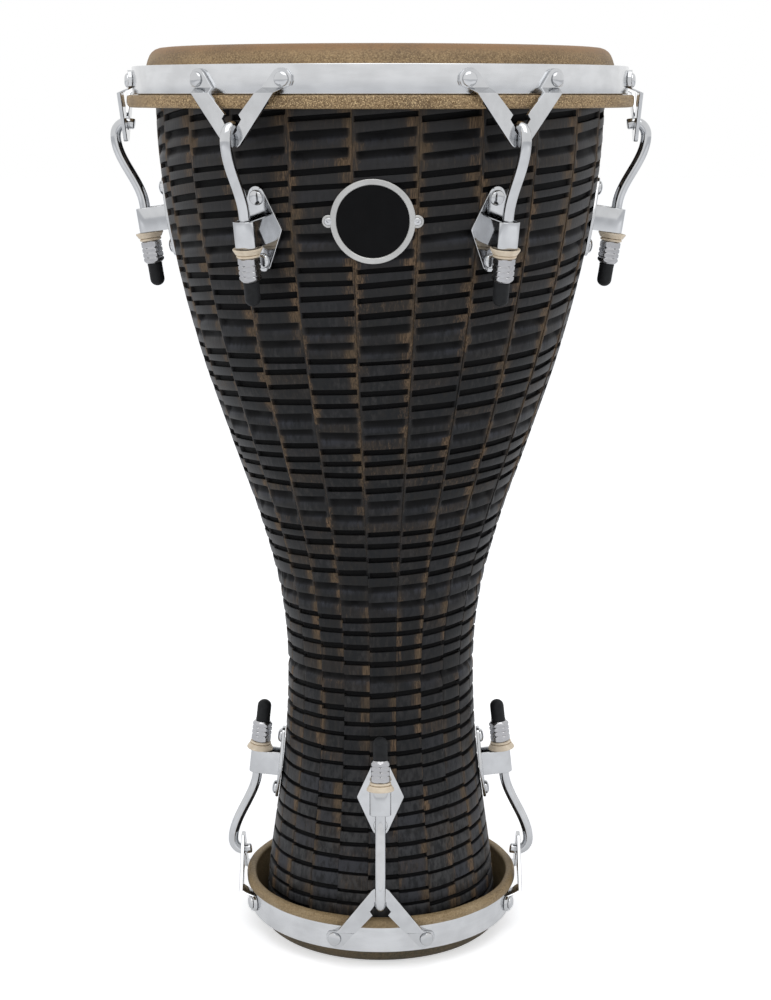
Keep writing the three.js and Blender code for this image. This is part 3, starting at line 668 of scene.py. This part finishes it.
def stave_tones(rows):
    """Wear, painted shade and painted sheen of each point of a stave's grid.

    Wear lies beside the joints: each side of a stave has a level that wanders with the height, and each ridge
    a width and a share of it. Here and there a whole ridge is worn a little. The depth value is painted
    shade in the grooves, with the dark lines at the joints. Painted sheen lies in the scoops, more on one
    half of each, and the same value gives some ridges a lighter random tone, more towards the foot."""
    stave, side, ridge = rows.stave, rows.side, rows.ridge
    handled, foot = rows.above(HANDLED), 1 - rows.above(LIGHTER_FOOT)
    knots = np.arange(WEAR_KNOTS)
    levels = [np.interp(rows.z / WEAR_STEP, knots, hashed(knots, stave, seed)) for seed in (5, 6)]
    level = np.where(side > 0, levels[0][:, None] + 0.12, levels[1][:, None] - 0.1)
    level = smooth_step(0.26 - 0.4 * handled - 0.2 * foot, 0.8 - 0.25 * handled, level)
    share = 0.35 + 0.65 * hashed(ridge, stave + 31, side)
    width = np.where(side > 0, 10.0, 7.0) * (0.25 + 0.75 * hashed(ridge, stave + 3, side))
    width = width * (1 + 0.35 * rows.above(MUCH_HANDLED))
    wear = level * share * (1 - smooth_step(width - 5, width + 1.5 + 2.5 * handled, rows.from_joint))
    line = (0.1 + 0.3 * hashed(ridge, stave + 23, side)) * rows.bowl
    line = line * (1 - smooth_step(0.5, 1.3, rows.from_joint))
    whole = (0.36 - 0.1 * handled) * hashed(ridge, stave + 17) ** 5
    wear = np.maximum(np.maximum(wear, line), whole)
    depth = rows.dark * rows.reach
    lean = rows.across * np.where(hashed(rows.groove, stave + 51) > 0.5, 1, -1)
    painted_sheen_and_tone = rows.shine * rows.reach * (0.25 + 0.75 * hashed(rows.groove, stave + 41))
    painted_sheen_and_tone = painted_sheen_and_tone * (0.3 + 0.7 * smooth_step(-0.8, 0.7, lean))
    painted_sheen_and_tone = painted_sheen_and_tone + (1 - depth) * (0.25 + 0.65 * foot) * hashed(ridge, stave + 61) ** 2
    # The depth value holds the painted groove shade and the joint lines; the sheen value holds painted sheen
    # and ridge tone
    tones = {"wear": wear, "depth": depth + 0.5 * rows.joint * (1 - rows.bowl), "painted_sheen_and_tone": painted_sheen_and_tone}
    return {name: [np.pad(values, ((1, 1), (0, INNER_POINTS)))] for name, values in tones.items()}


for stave in range(STAVES):
    rows = StaveRows(stave)
    add_piece(f"stave_{stave + 1:02d}", [stave_grid(rows)], lacquer, "shell_body", "shell",
              stave_tones(rows), 35)


# ---- Skins


def head_profile(head, points):
    """Points of (radius, drop from the playing face) as (radius, height)."""
    points = np.asarray(points, float)
    return np.stack([points[:, 0], head["face"] - head["up"] * points[:, 1]], -1)


def skin_grid(head, sides=240):
    """The skin: playing face, shoulder, collar and the lap rolled round the hoop, spun about the axis.

    The lap and collar wander by a few tenths of a millimetre: sums of sines of the azimuth. With it come each
    point's share of lap and of the shoulder's edge tone, which is painted shade on the small head."""
    outer = head["hoop"] - SKIN - GAP
    near = head["drop"] + SKIN + GAP
    core_width, core_height = head["core"]
    far = near + core_height
    lap_in, lap_out = outer - core_width - GAP, outer + GAP
    collar = head["shell"] + GAP + SKIN
    outline = [
        (0, 0), (collar * 0.55, 0), (collar - 0.2, 0), (lap_in, near - GAP), (lap_in, far + GAP),
        (lap_out, far + GAP), (lap_out, near - GAP), (lap_in + SKIN, near - GAP),
        (lap_in + SKIN, head["drop"]), (head["hoop"], head["drop"]), (head["hoop"], far + GAP + SKIN),
        (lap_in - SKIN, far + GAP + SKIN), (lap_in - SKIN, near - GAP), (collar - SKIN - 0.2, SKIN),
        (collar * 0.55, SKIN), (0, SKIN),
    ]
    radii = [0, 0, 9, 2, 0.9, 0.9, 0.9, 0.5, 0.5, 2.2, 3.4, 3.4, 4, 7, 0, 0]
    profile = head_profile(head, rounded(outline, radii, 5, loop=False))
    grid = spun(profile, sides)
    a = around(sides)
    wander = 0.18 * np.sin(5 * a + 1) + 0.12 * np.sin(11 * a + 2.2) + 0.07 * np.sin(23 * a)
    drop = np.abs(head["face"] - grid[..., 2])
    share = smooth_step(8, 30, drop)
    radius = np.hypot(grid[..., 0], grid[..., 1])
    inward = 1 + (wander - 0.37) * share / np.maximum(radius, 50)
    grid[..., :2] *= inward[..., None]
    lap = smooth_step(head["drop"] - 3, head["drop"] - 0.5, drop)
    lap = np.maximum(lap, 0.45 * smooth_step(3, 8, drop) * (radius > collar - 3))
    # The shoulder's edge zone; on the small head its colour is painted shade
    edge = smooth_step(collar - 22, collar - 7, radius) * (1 - smooth_step(*head["edge_burn_and_shade"], drop))
    return grid, {"lap": [lap], "edge": [edge]}


def flesh_hoop_grid(head, sides=160):
    """The steel ring inside a lap: a rectangle with rounded corners, spun about the axis."""
    outer = head["hoop"] - SKIN - GAP
    near = head["drop"] + SKIN + GAP
    inner, far = outer - head["core"][0], near + head["core"][1]
    outline = [(inner, near), (outer, near), (outer, far), (inner, far)]
    return spun(closed(head_profile(head, rounded(outline, 1, 3))), sides)


for name, hide, node in (("large", top_hide, "top"), ("small", bottom_hide, "bottom")):
    grid, zones = skin_grid(HEADS[node])
    add_piece(f"{name}_skin", [grid], hide, f"{node}_head", f"{node}_skin", zones)
    hoop = [flesh_hoop_grid(HEADS[node])]
    add_piece(f"{name}_flesh_hoop", hoop, hoop_steel, f"{node}_head", f"{node}_flesh_hoop")


# ---- Rims with their side plates


def rim_far(head):
    """The drop of the band's edge at the lap."""
    return head["drop"] - GAP


def rivet_drop(head):
    """The drop of the rivets, on the band's middle line."""
    return rim_far(head) - RIM_HEIGHT / 2


def band_grid(head, sides=300):
    """The rim's band: a rectangle with rounded corners, spun about the axis."""
    inner = head["rim"] - RIM_THICKNESS
    near, far = rim_far(head) - RIM_HEIGHT, rim_far(head)
    outline = [(inner, near), (head["rim"], near), (head["rim"], far), (inner, far)]
    return spun(closed(head_profile(head, rounded(outline, 0.9, 4))), sides)


def post(head, turn, points):
    """Head coordinates (across, drop, distance from the axis) turned to an azimuth, as world points.

    Across runs counter-clockwise seen from above."""
    x, drop, out = np.moveaxis(points, -1, 0)
    sin, cos = np.sin(turn), np.cos(turn)
    return np.stack([out * sin + x * cos, -out * cos + x * sin, head["face"] - head["up"] * drop], -1)


def plate_grid(head, side):
    """Half a side plate: a strip between its outer and inner edge, from the tab to the bridge.

    A station runs from inner to outer point in the plate's own plane. It is folded in towards the rim over
    the fold, where the plate hugs the band: out = sqrt(hug^2 - x^2)."""
    half = RIVET_SPACING / 2
    window = ROD + GAP
    fold_end = FOLD_START + FOLD_LENGTH
    fold_middle = FOLD_START + FOLD_LENGTH / 2
    out_turns, in_turns = np.radians([-90, -55, -20, 12, 34]), np.radians([-90, -108, -125, -142])
    tab_out, tab_in = (np.stack([half + TAB_RADIUS * np.cos(a), TAB_RADIUS * np.sin(a)], -1)
                       for a in (out_turns, in_turns))
    outer = [
        *tab_out, (half * 1.07, FOLD_START), (half * 1.025, fold_middle), (half * 0.98, fold_end),
        (30.1, 13.6), (16.0, 31.4), (15.3, 32.3), (11.4, 37.2), (10.3, 38.6), (8.4, 41.0), (6.5, 43.4),
        (4.5, PLATE_DROP), (0, PLATE_DROP),
    ]
    bridge = PLATE_DROP - PLATE_BRIDGE
    inner = [
        *tab_in, (24.2, 0.9), (half * 0.6, FOLD_START), (half * 0.575, fold_middle), (half * 0.55, fold_end),
        (15.5, 12.8), (5.85, 23.4), (7.9, 26.5), (window, 31.5), (window, 33.85), (3.3, 34.9), (2.15, bridge),
        (1.1, bridge), (0, bridge),
    ]
    outer, inner = np.array(outer), np.array(inner)
    mid, halfway = (outer + inner) / 2, (outer - inner) / 2
    wide = np.linalg.norm(halfway, axis=1)
    unit = np.where(wide[:, None] > 0.01, halfway / np.maximum(wide, 0.01)[:, None], [[1.0, 0.0]])
    bevel = np.minimum(0.5, wide * 0.5)
    h = PLATE_THICKNESS
    u = np.stack([-wide, -wide + bevel * 0.3, -wide + bevel, wide - bevel, wide - bevel * 0.3, wide,
                  wide, wide - bevel, -wide + bevel, -wide], -1)
    v = np.array([h - 0.5, h - 0.15, h, h, h - 0.15, h - 0.5, 0.5, 0, 0, 0.5])[None, :] + 0 * u
    x = mid[:, None, 0] + unit[:, None, 0] * u
    y = mid[:, None, 1] + unit[:, None, 1] * u
    share = np.clip((y - FOLD_START) / FOLD_LENGTH, 0, 1)
    hug = head["rim"] + GAP
    inside = np.sqrt(hug**2 - x**2) * (1 - share) + (head["hoop"] + PLATE_STANDOFF) * share
    return np.stack([side * x, y + rivet_drop(head), inside + v], -1)


def rivet_grid(head, side, sides=28):
    """A rivet: its domed head outside the tab, and its tail inside the band.

    The profile is spun about the rivet's axis, then turned to face outwards where the band is."""
    seat = head["rim"] + PLATE_THICKNESS + 0.25
    tail = head["rim"] - RIM_THICKNESS - 1.4
    profile = [(0, tail), (3.1, tail), (3.4, tail + 1.2), (2.6, tail + 1.4), (2.6, seat),
               (RIVET_RADIUS, seat), *dome(RIVET_RADIUS, seat + 0.25, RIVET_HEIGHT - 0.25, 8)]
    x, y, out = np.moveaxis(spun(profile, sides), -1, 0)
    angle = side * np.arcsin(RIVET_SPACING / 2 / head["rim"])
    return np.stack([x * np.cos(angle) + out * np.sin(angle), y + rivet_drop(head),
                     out * np.cos(angle) - x * np.sin(angle)], -1)


# ---- Hooks, lugs and what sits on the rods


class Station:
    """A rod's frame, read from its nut's joint: the strap's middle, and its directions.

    Along runs with the rod, out away from the drum at a right angle to it, and across to the side."""

    def __init__(self, name, number, joint):
        self.head, self.name, self.number = HEADS[name], name, number
        self.origin = np.array(joint["pos_m"]) / MM
        self.along = np.array(joint["axis"], float)
        self.turn = np.arctan2(self.origin[0], -self.origin[1])
        self.radial = polar(1, self.turn, 0)
        out = self.radial - self.along * (self.radial @ self.along)
        self.out = out / np.linalg.norm(out)
        self.across = np.cross(self.out, self.along)

    def world(self, points):
        """Local points (across, along, out) in the drum's frame."""
        return self.origin + points @ np.stack([self.across, self.along, self.out])

    def label(self, part):
        return f"{self.name}_{part}_{self.number}"


def turned_on_rod(profile, sides):
    """A profile of (radius, distance along the rod) spun about the rod: (r cos a, y, r sin a)."""
    x, y, z = np.moveaxis(spun(profile, sides), -1, 0)
    return np.stack([-y, z, x], -1)


def hook_grid(station):
    """A round rod along its route: tip, arch over the bridge, bend to the lug, and the straight rod.

    The route lies in a plane through the drum's axis. Its curves are cubics, and the rod's circle stands on
    that plane's normal and the route's own."""
    head = station.head
    middle = head["hoop"] + PLATE_STANDOFF + PLATE_THICKNESS / 2
    crossing = rivet_drop(head) + PLATE_DROP - PLATE_BRIDGE - GAP - ROD - HOOK_TIP_SAG / 2
    base = np.array([0.0, 0.0, head["face"]])
    down = np.array([0.0, 0.0, -float(head["up"])])

    def at(drop, distance):
        return base + down * drop + station.radial * distance

    tip, crown = at(crossing + HOOK_TIP_SAG, middle - HOOK_TIP_REACH), at(crossing, middle)
    outermost = at(crossing + HOOK_ARCH_DROP, middle + HOOK_REACH)
    mouth = station.origin - station.along * (STRAP_LENGTH / 2 + HOOK_MOUTH)
    end = station.origin + station.along * (CAP_START + ROD_IN_CAP)
    over = at(crossing, middle + HOOK_REACH * ARCH_SHARE)
    beside = at(crossing + HOOK_ARCH_DROP * (1 - ARCH_SHARE), middle + HOOK_REACH)
    path = np.concatenate([
        [tip, tip + (crown - tip) * 0.5, crown],
        bezier(crown, over, beside, outermost, 14),
        bezier(outermost, outermost + down * HOOK_BEND, mouth - station.along * HOOK_BEND, mouth, 36),
        [mouth + station.along * 8, end],
    ])
    across = np.broadcast_to(np.cross(station.radial, down), path.shape)
    out = np.cross(heading(path), across)
    path, across, out, sizes = capped(path, across, out, 0.7, ROD)
    return carried(circle(ROD, 28), path, across, out, sizes)


def lug_plate_grid(station):
    """The diamond plate: its outline at several sizes, from the back to the front, bent to the shell.

    The outline runs between round ends and two soft side corners. The bend lowers a point by 3/4 x^2 / 2R."""
    reach = LUG_LENGTH / 2 - LUG_END_RADIUS
    lean = np.arctan2(LUG_WIDTH / 2 - LUG_END_RADIUS, reach)
    t = np.linspace(lean, np.pi - lean, 13)
    end = np.stack([LUG_END_RADIUS * np.cos(t), reach + LUG_END_RADIUS * np.sin(t)], -1)
    corner = rounded([(end[0, 0], -end[0, 1]), (LUG_WIDTH / 2, 0), tuple(end[0])], 1.2, 4, loop=False)
    outline = np.concatenate([corner[1:-1], end, -corner[1:-1], -end])
    h = LUG_THICKNESS
    sizes = np.array([0, 0.97, 0.99, 0.99, 0.982, 0.965, 0.6, 0.3, 0])
    heights = np.array([0, 0, 0.4, h - 0.6, h - 0.2, h, h, h, h]) + GAP - ROD_STANDOFF
    flat = sizes[:, None, None] * outline[None]
    bend = flat[..., 0] ** 2 / (2 * (shell_radius(station.origin[2]) + 20)) * 0.75
    return station.world(np.stack([flat[..., 0], flat[..., 1], heights[:, None] - bend], -1))


def strap_grid(station):
    """The folded strap: a bar section with rounded corners carried up one side, over the rod and down."""
    radius = STRAP_WIDTH / 2 - STRAP_THICKNESS / 2
    foot = GAP + LUG_THICKNESS / 2 - ROD_STANDOFF
    crown = ROD + GAP + STRAP_THICKNESS / 2
    corners = [(radius, foot), (radius, crown), (-radius, crown), (-radius, foot)]
    line = rounded(corners, [0, 5, 5, 0], 12, loop=False)
    line = np.concatenate([line[:1], line[13:-13], line[-1:]])
    ahead = heading(line)
    path = np.stack([line[:, 0], 0 * line[:, 0], line[:, 1]], -1)
    normal = np.stack([-ahead[:, 1], 0 * line[:, 0], ahead[:, 0]], -1)
    along = np.broadcast_to([0.0, 1.0, 0.0], path.shape)
    wide, thick = STRAP_LENGTH / 2, STRAP_THICKNESS / 2
    bar = rounded([(-wide, -thick), (wide, -thick), (wide, thick), (-wide, thick)], 0.45, 3)
    grid = carried(bar, path, along, normal)
    first, last = (np.repeat(point[None, None], len(bar), 1) for point in (path[0], path[-1]))
    return station.world(np.concatenate([first, grid, last]))


def bolt_grid(station, along):
    """A lug bolt's domed head, spun about the bolt with a short neck below it."""
    seat = GAP + LUG_THICKNESS - ROD_STANDOFF - 0.1
    top = dome(BOLT_RADIUS, seat + 0.5, BOLT_HEIGHT - 0.6, 9)
    grid = spun([(0, seat - 1.5), (3, seat - 1.5), (3, seat), (BOLT_RADIUS, seat), *top], 32)
    return station.world(grid + np.array([0, along, 0]))


def washer_grids():
    """The dished washer, whose rim curls up towards the strap, and the ring between it and the nut."""
    w, r = WASHER_START, WASHER_RADIUS
    dish = [(BORE, w + 0.9), (8.0, w + 0.9), (r - 0.9, w), (r, w + 0.1), (r - 0.1, w + 1.1), (9.4, w + 2.9),
            (8.7, w + 4.2), (BORE, w + 4.2)]
    ring = [(BORE, w + 4.45), (7.7, w + 4.45), (8.3, w + 4.9), (8.4, w + 5.6), (7.9, w + 6.4),
            (BORE, w + 6.4)]
    return [turned_on_rod(closed(rounded(part, 0.6, 4)), 56) for part in (dish, ring)]


def nut_grid():
    """A long hexagon nut: a rounded hexagon at each height, with coned ends and three fine grooves.

    The radius at angle a is flats / 2 / cos(a folded to a sixth), held under the ends' cones, and a groove
    takes depth x cos^2 of the way across it, deeper at the hexagon's corners than on its flats."""
    sides = 72
    a = around(sides)
    folded = np.mod(a + np.pi / 6, np.pi / 3) - np.pi / 6
    half = NUT_FLATS / 2
    hexagon = np.minimum(half / np.cos(folded), half * 1.12)
    t = np.linspace(0, 1, 61)
    y = NUT_START + NUT_HEIGHT * t
    cone = half * 0.96 + 1.6 * np.minimum(t, 0.1) * NUT_HEIGHT
    cone = np.minimum(cone, half * 0.86 + 0.9 * (1 - t) * NUT_HEIGHT)
    ways = (np.clip((t - place) / NUT_GROOVE_WIDTH, -1, 1) for place in NUT_GROOVES)
    grooves = sum(np.cos(way * np.pi / 2) ** 2 for way in ways)
    notch = 0.12 + 0.55 * smooth_step(half * 1.02, half * 1.1, hexagon)
    radius = np.minimum(hexagon[None, :], cone[:, None]) - notch * grooves[:, None]
    ring = np.stack([radius * np.cos(a), y[:, None] + 0 * radius, radius * np.sin(a)], -1)
    bore = turned_on_rod([(BORE, y[-1]), (BORE, y[0])], sides)
    return np.concatenate([ring, bore, ring[:1]])


def cap_grid():
    """A rubber cap: a straight sleeve with a rolled mouth and a round end."""
    t = np.linspace(0, np.pi / 2, 9)[1:]
    end = CAP_START + CAP_LENGTH
    straight = end - CAP_RADIUS * 0.92
    tip = [(CAP_RADIUS * 0.97 * np.cos(x), straight + CAP_RADIUS * 0.92 * np.sin(x)) for x in t]
    profile = [
        (0, end - 2.4), (BORE, end - 2.4), (BORE, CAP_START + 0.2), (4.9, CAP_START), (5.4, CAP_START),
        (CAP_RADIUS, CAP_START + 0.35), (CAP_RADIUS, CAP_START + 1.3), (CAP_RADIUS * 0.97, CAP_START + 1.7),
        (CAP_RADIUS * 0.97, straight), *tip,
    ]
    return turned_on_rod(profile, 36)


def add_station(station):
    """The pieces of one rod: side plate and rivets, hook, lug, washer, nut and cap."""
    head, label = station.head, station.label
    head_body, rim = f"{station.name}_head", f"{station.name}_rim"
    hook_body, nut_body = label("hook_body"), label("nut_body")
    halves = [post(head, station.turn, plate_grid(head, side)) for side in (-1, 1)]
    rivets = [post(head, station.turn, rivet_grid(head, side)) for side in (-1, 1)]
    lug = [lug_plate_grid(station), strap_grid(station)]
    bolts = [bolt_grid(station, side * BOLT_SPACING / 2) for side in (-1, 1)]
    washer = [station.world(part) for part in washer_grids()]
    nut, cap = [station.world(nut_grid())], [station.world(cap_grid())]
    add_piece(label("side_plate"), halves, chrome, head_body, rim, soft_angle=18)
    add_piece(label("rivets"), rivets, chrome, head_body, rim)
    add_piece(label("tuning_hook"), [hook_grid(station)], chrome, hook_body, label("hook"))
    add_piece(label("lug_plate"), lug, chrome, "shell_body", label("lug"), soft_angle=22)
    add_piece(label("lug_bolts"), bolts, chrome, "shell_body", label("lug"))
    add_piece(label("dished_washer"), washer, nylon, "shell_body", label("washer"))
    add_piece(label("nut"), nut, nut_plate, nut_body, label("tuning_nut"), soft_angle=24)
    add_piece(label("rubber_cap"), cap, rubber, nut_body, label("thread_cap"))


for name, head in HEADS.items():
    add_piece(f"{name}_band", [band_grid(head)], band_chrome, f"{name}_head", f"{name}_rim")

for joint in frame["joints"]:
    words = joint["name"].split("_")
    if words[1:3] == ["nut", "turn"]:
        add_station(Station(words[0], int(words[3]), joint))


# ---- Badge


def on_shell(points):
    """Flat badge coordinates (girth, up, out) wrapped onto the shell."""
    x, y, z = np.moveaxis(np.asarray(points, float), -1, 0)
    height = BADGE_HEIGHT + y
    radius = shell_radius(height) + GAP + z
    angle = (BADGE_OFFSET + x) / shell_radius(BADGE_HEIGHT)
    return polar(radius, angle, height)


def badge_disc(profile, centre=0.0, sides=120):
    """A profile of (radius, thickness) spun in the badge's plane, then wrapped onto the shell."""
    x, y, z = np.moveaxis(spun(profile, sides), -1, 0)
    return on_shell(np.stack([centre - y, x, z], -1))


# Profiles of the badge's face, raised ring, ears and screws, as (radius, thickness). A screw's domed head has
# a round recess in its middle.
BADGE_INNER = BADGE_RADIUS - BADGE_RING
FACE_LOW = 0.2
FACE_HIGH = 1.1
FACE_PROFILE = [
    (0, FACE_LOW), (BADGE_INNER + 0.5, FACE_LOW), (BADGE_INNER + 0.5, FACE_HIGH),
    *((BADGE_INNER * share, FACE_HIGH) for share in (0.8, 0.6, 0.4, 0.2, 0)),
]
RING_CORNERS = [
    (BADGE_INNER, 0), (BADGE_RADIUS, 0), (BADGE_RADIUS, 1.9), (BADGE_RADIUS - 0.9, 2.25),
    (BADGE_INNER + 0.7, 2.25), (BADGE_INNER, 1.5),
]
EAR_PROFILE = [(0, 0.1), (BADGE_EAR, 0.1), (BADGE_EAR, 0.9), (BADGE_EAR - 0.4, 1.2), (1, 1.2), (0, 1.2)]
SCREW_RADIUS = 2.9
SCREW_PROFILE = [
    (0, 0.9), (SCREW_RADIUS, 0.9), (SCREW_RADIUS, 1.3), *dome(SCREW_RADIUS, 1.55, 1.3, 8)[:-1],
    (0.95, 2.75), (0.8, 1.7), (0, 1.7),
]

add_piece("badge_face", [badge_disc(FACE_PROFILE)], enamel, "shell_body", "badge")
raised = badge_disc(closed(rounded(RING_CORNERS, 0.35, 3)))
ears = [badge_disc(EAR_PROFILE, side * BADGE_SPACING / 2, 40) for side in (-1, 1)]
add_piece("badge_ring", [raised, *ears], brushed, "shell_body", "badge")
for side, word in ((-1, "left"), (1, "right")):
    screw = badge_disc(SCREW_PROFILE, side * BADGE_SPACING / 2, 48)
    add_piece(f"badge_screw_head_{word}", [screw], chrome, "shell_body", f"badge_screw_{word}")


# ---- Floor, light and camera

scene = bpy.context.scene
scene.view_settings.view_transform = "Standard"


def make_floor():
    """A white floor that keeps shadows: half of what is seen of it is its own glow, and less in metal."""
    shader = Shader("pale_floor", Base_Color=(0.9, 0.9, 0.9), Roughness=0.9, Specular_IOR_Level=0.0)
    straight = shader.node("ShaderNodeLightPath", output="Is Camera Ray")
    mirrored = shader.node("ShaderNodeLightPath", output="Is Glossy Ray")
    shader.set("Emission Color", shader.mix(straight + mirrored * 0.35, (0.0, 0.0, 0.0), (1.0, 1.0, 1.0)))
    shader.set("Emission Strength", 0.5)
    return shader.material


# In metres: half the floor's width, and its height just under the small head
FLOOR_REACH = 14.0
FLOOR_HEIGHT = -0.0006
floor_mesh = bpy.data.meshes.new("floor")
corners = [(x * FLOOR_REACH, y * FLOOR_REACH, FLOOR_HEIGHT) for x, y in ((-1, -1), (1, -1), (1, 1), (-1, 1))]
floor_mesh.from_pydata(corners, [], [(0, 1, 2, 3)])
floor_mesh.materials.append(make_floor())
floor = bpy.data.objects.new("floor", floor_mesh)
scene.collection.objects.link(floor)

# The room lights the drum with a cool grey, and is white where the camera or a mirror ray meets it
world = bpy.data.worlds.new("studio")
scene.world = world
world.use_nodes = True
tree = world.node_tree
lit = tree.nodes["Background"]
seen = tree.nodes.new("ShaderNodeBackground")
for node, colour, strength in ((lit, (0.94, 0.96, 1.0, 1.0), 0.6), (seen, (1.0, 1.0, 1.0, 1.0), 1.0)):
    node.inputs["Color"].default_value = colour
    node.inputs["Strength"].default_value = strength
paths = tree.nodes.new("ShaderNodeLightPath")
either = tree.nodes.new("ShaderNodeMath")
either.operation = "MAXIMUM"
mixer = tree.nodes.new("ShaderNodeMixShader")
for source, target in (
    (paths.outputs["Is Camera Ray"], either.inputs[0]), (paths.outputs["Is Glossy Ray"], either.inputs[1]),
    (either.outputs[0], mixer.inputs[0]), (lit.outputs[0], mixer.inputs[1]),
    (seen.outputs[0], mixer.inputs[2]), (mixer.outputs[0], tree.nodes["World Output"].inputs["Surface"]),
):
    tree.links.new(source, target)


def add_lamp(name, place, aim, size, radiance, mirrored=False):
    """A square area lamp that faces a point. Its power is pi times its radiance times its area.

    Unless it is mirrored, metal shows the white room in its place."""
    lamp = bpy.data.lights.new(name, "AREA")
    lamp.size, lamp.energy = size, np.pi * radiance * size**2
    holder = bpy.data.objects.new(name, lamp)
    holder.location = place
    holder.rotation_euler = (Vector(aim) - Vector(place)).to_track_quat("-Z", "Y").to_euler()
    holder.visible_glossy = mirrored
    scene.collection.objects.link(holder)


add_lamp("softbox_above", (0.1, -1.0, 3.0), (0, 0, 0.4), 2.6, 1.3, True)
add_lamp("softbox_left", (-2.6, -1.7, 1.5), (0, 0, 0.4), 2.2, 1.05)
add_lamp("softbox_right", (2.7, -1.4, 1.4), (0, 0, 0.35), 2.2, 0.95)

# The photograph's camera: focal length over the picture's long side, then places in metres
FOCAL_SHARE = 1.9246
SENSOR = 36.0
CAMERA_SIDE = 0.0039
CAMERA_DISTANCE = 1.487
CAMERA_HEIGHT = 0.662
PITCH = np.radians(11.92)
camera = bpy.data.objects.new("camera", bpy.data.cameras.new("camera"))
camera.data.sensor_width = SENSOR
camera.data.lens = SENSOR * FOCAL_SHARE
camera.location = (CAMERA_SIDE, -CAMERA_DISTANCE, CAMERA_HEIGHT)
camera.rotation_euler = (np.pi / 2 - PITCH, 0, 0)
camera.data.clip_end = 60
scene.collection.objects.link(camera)
scene.camera = camera
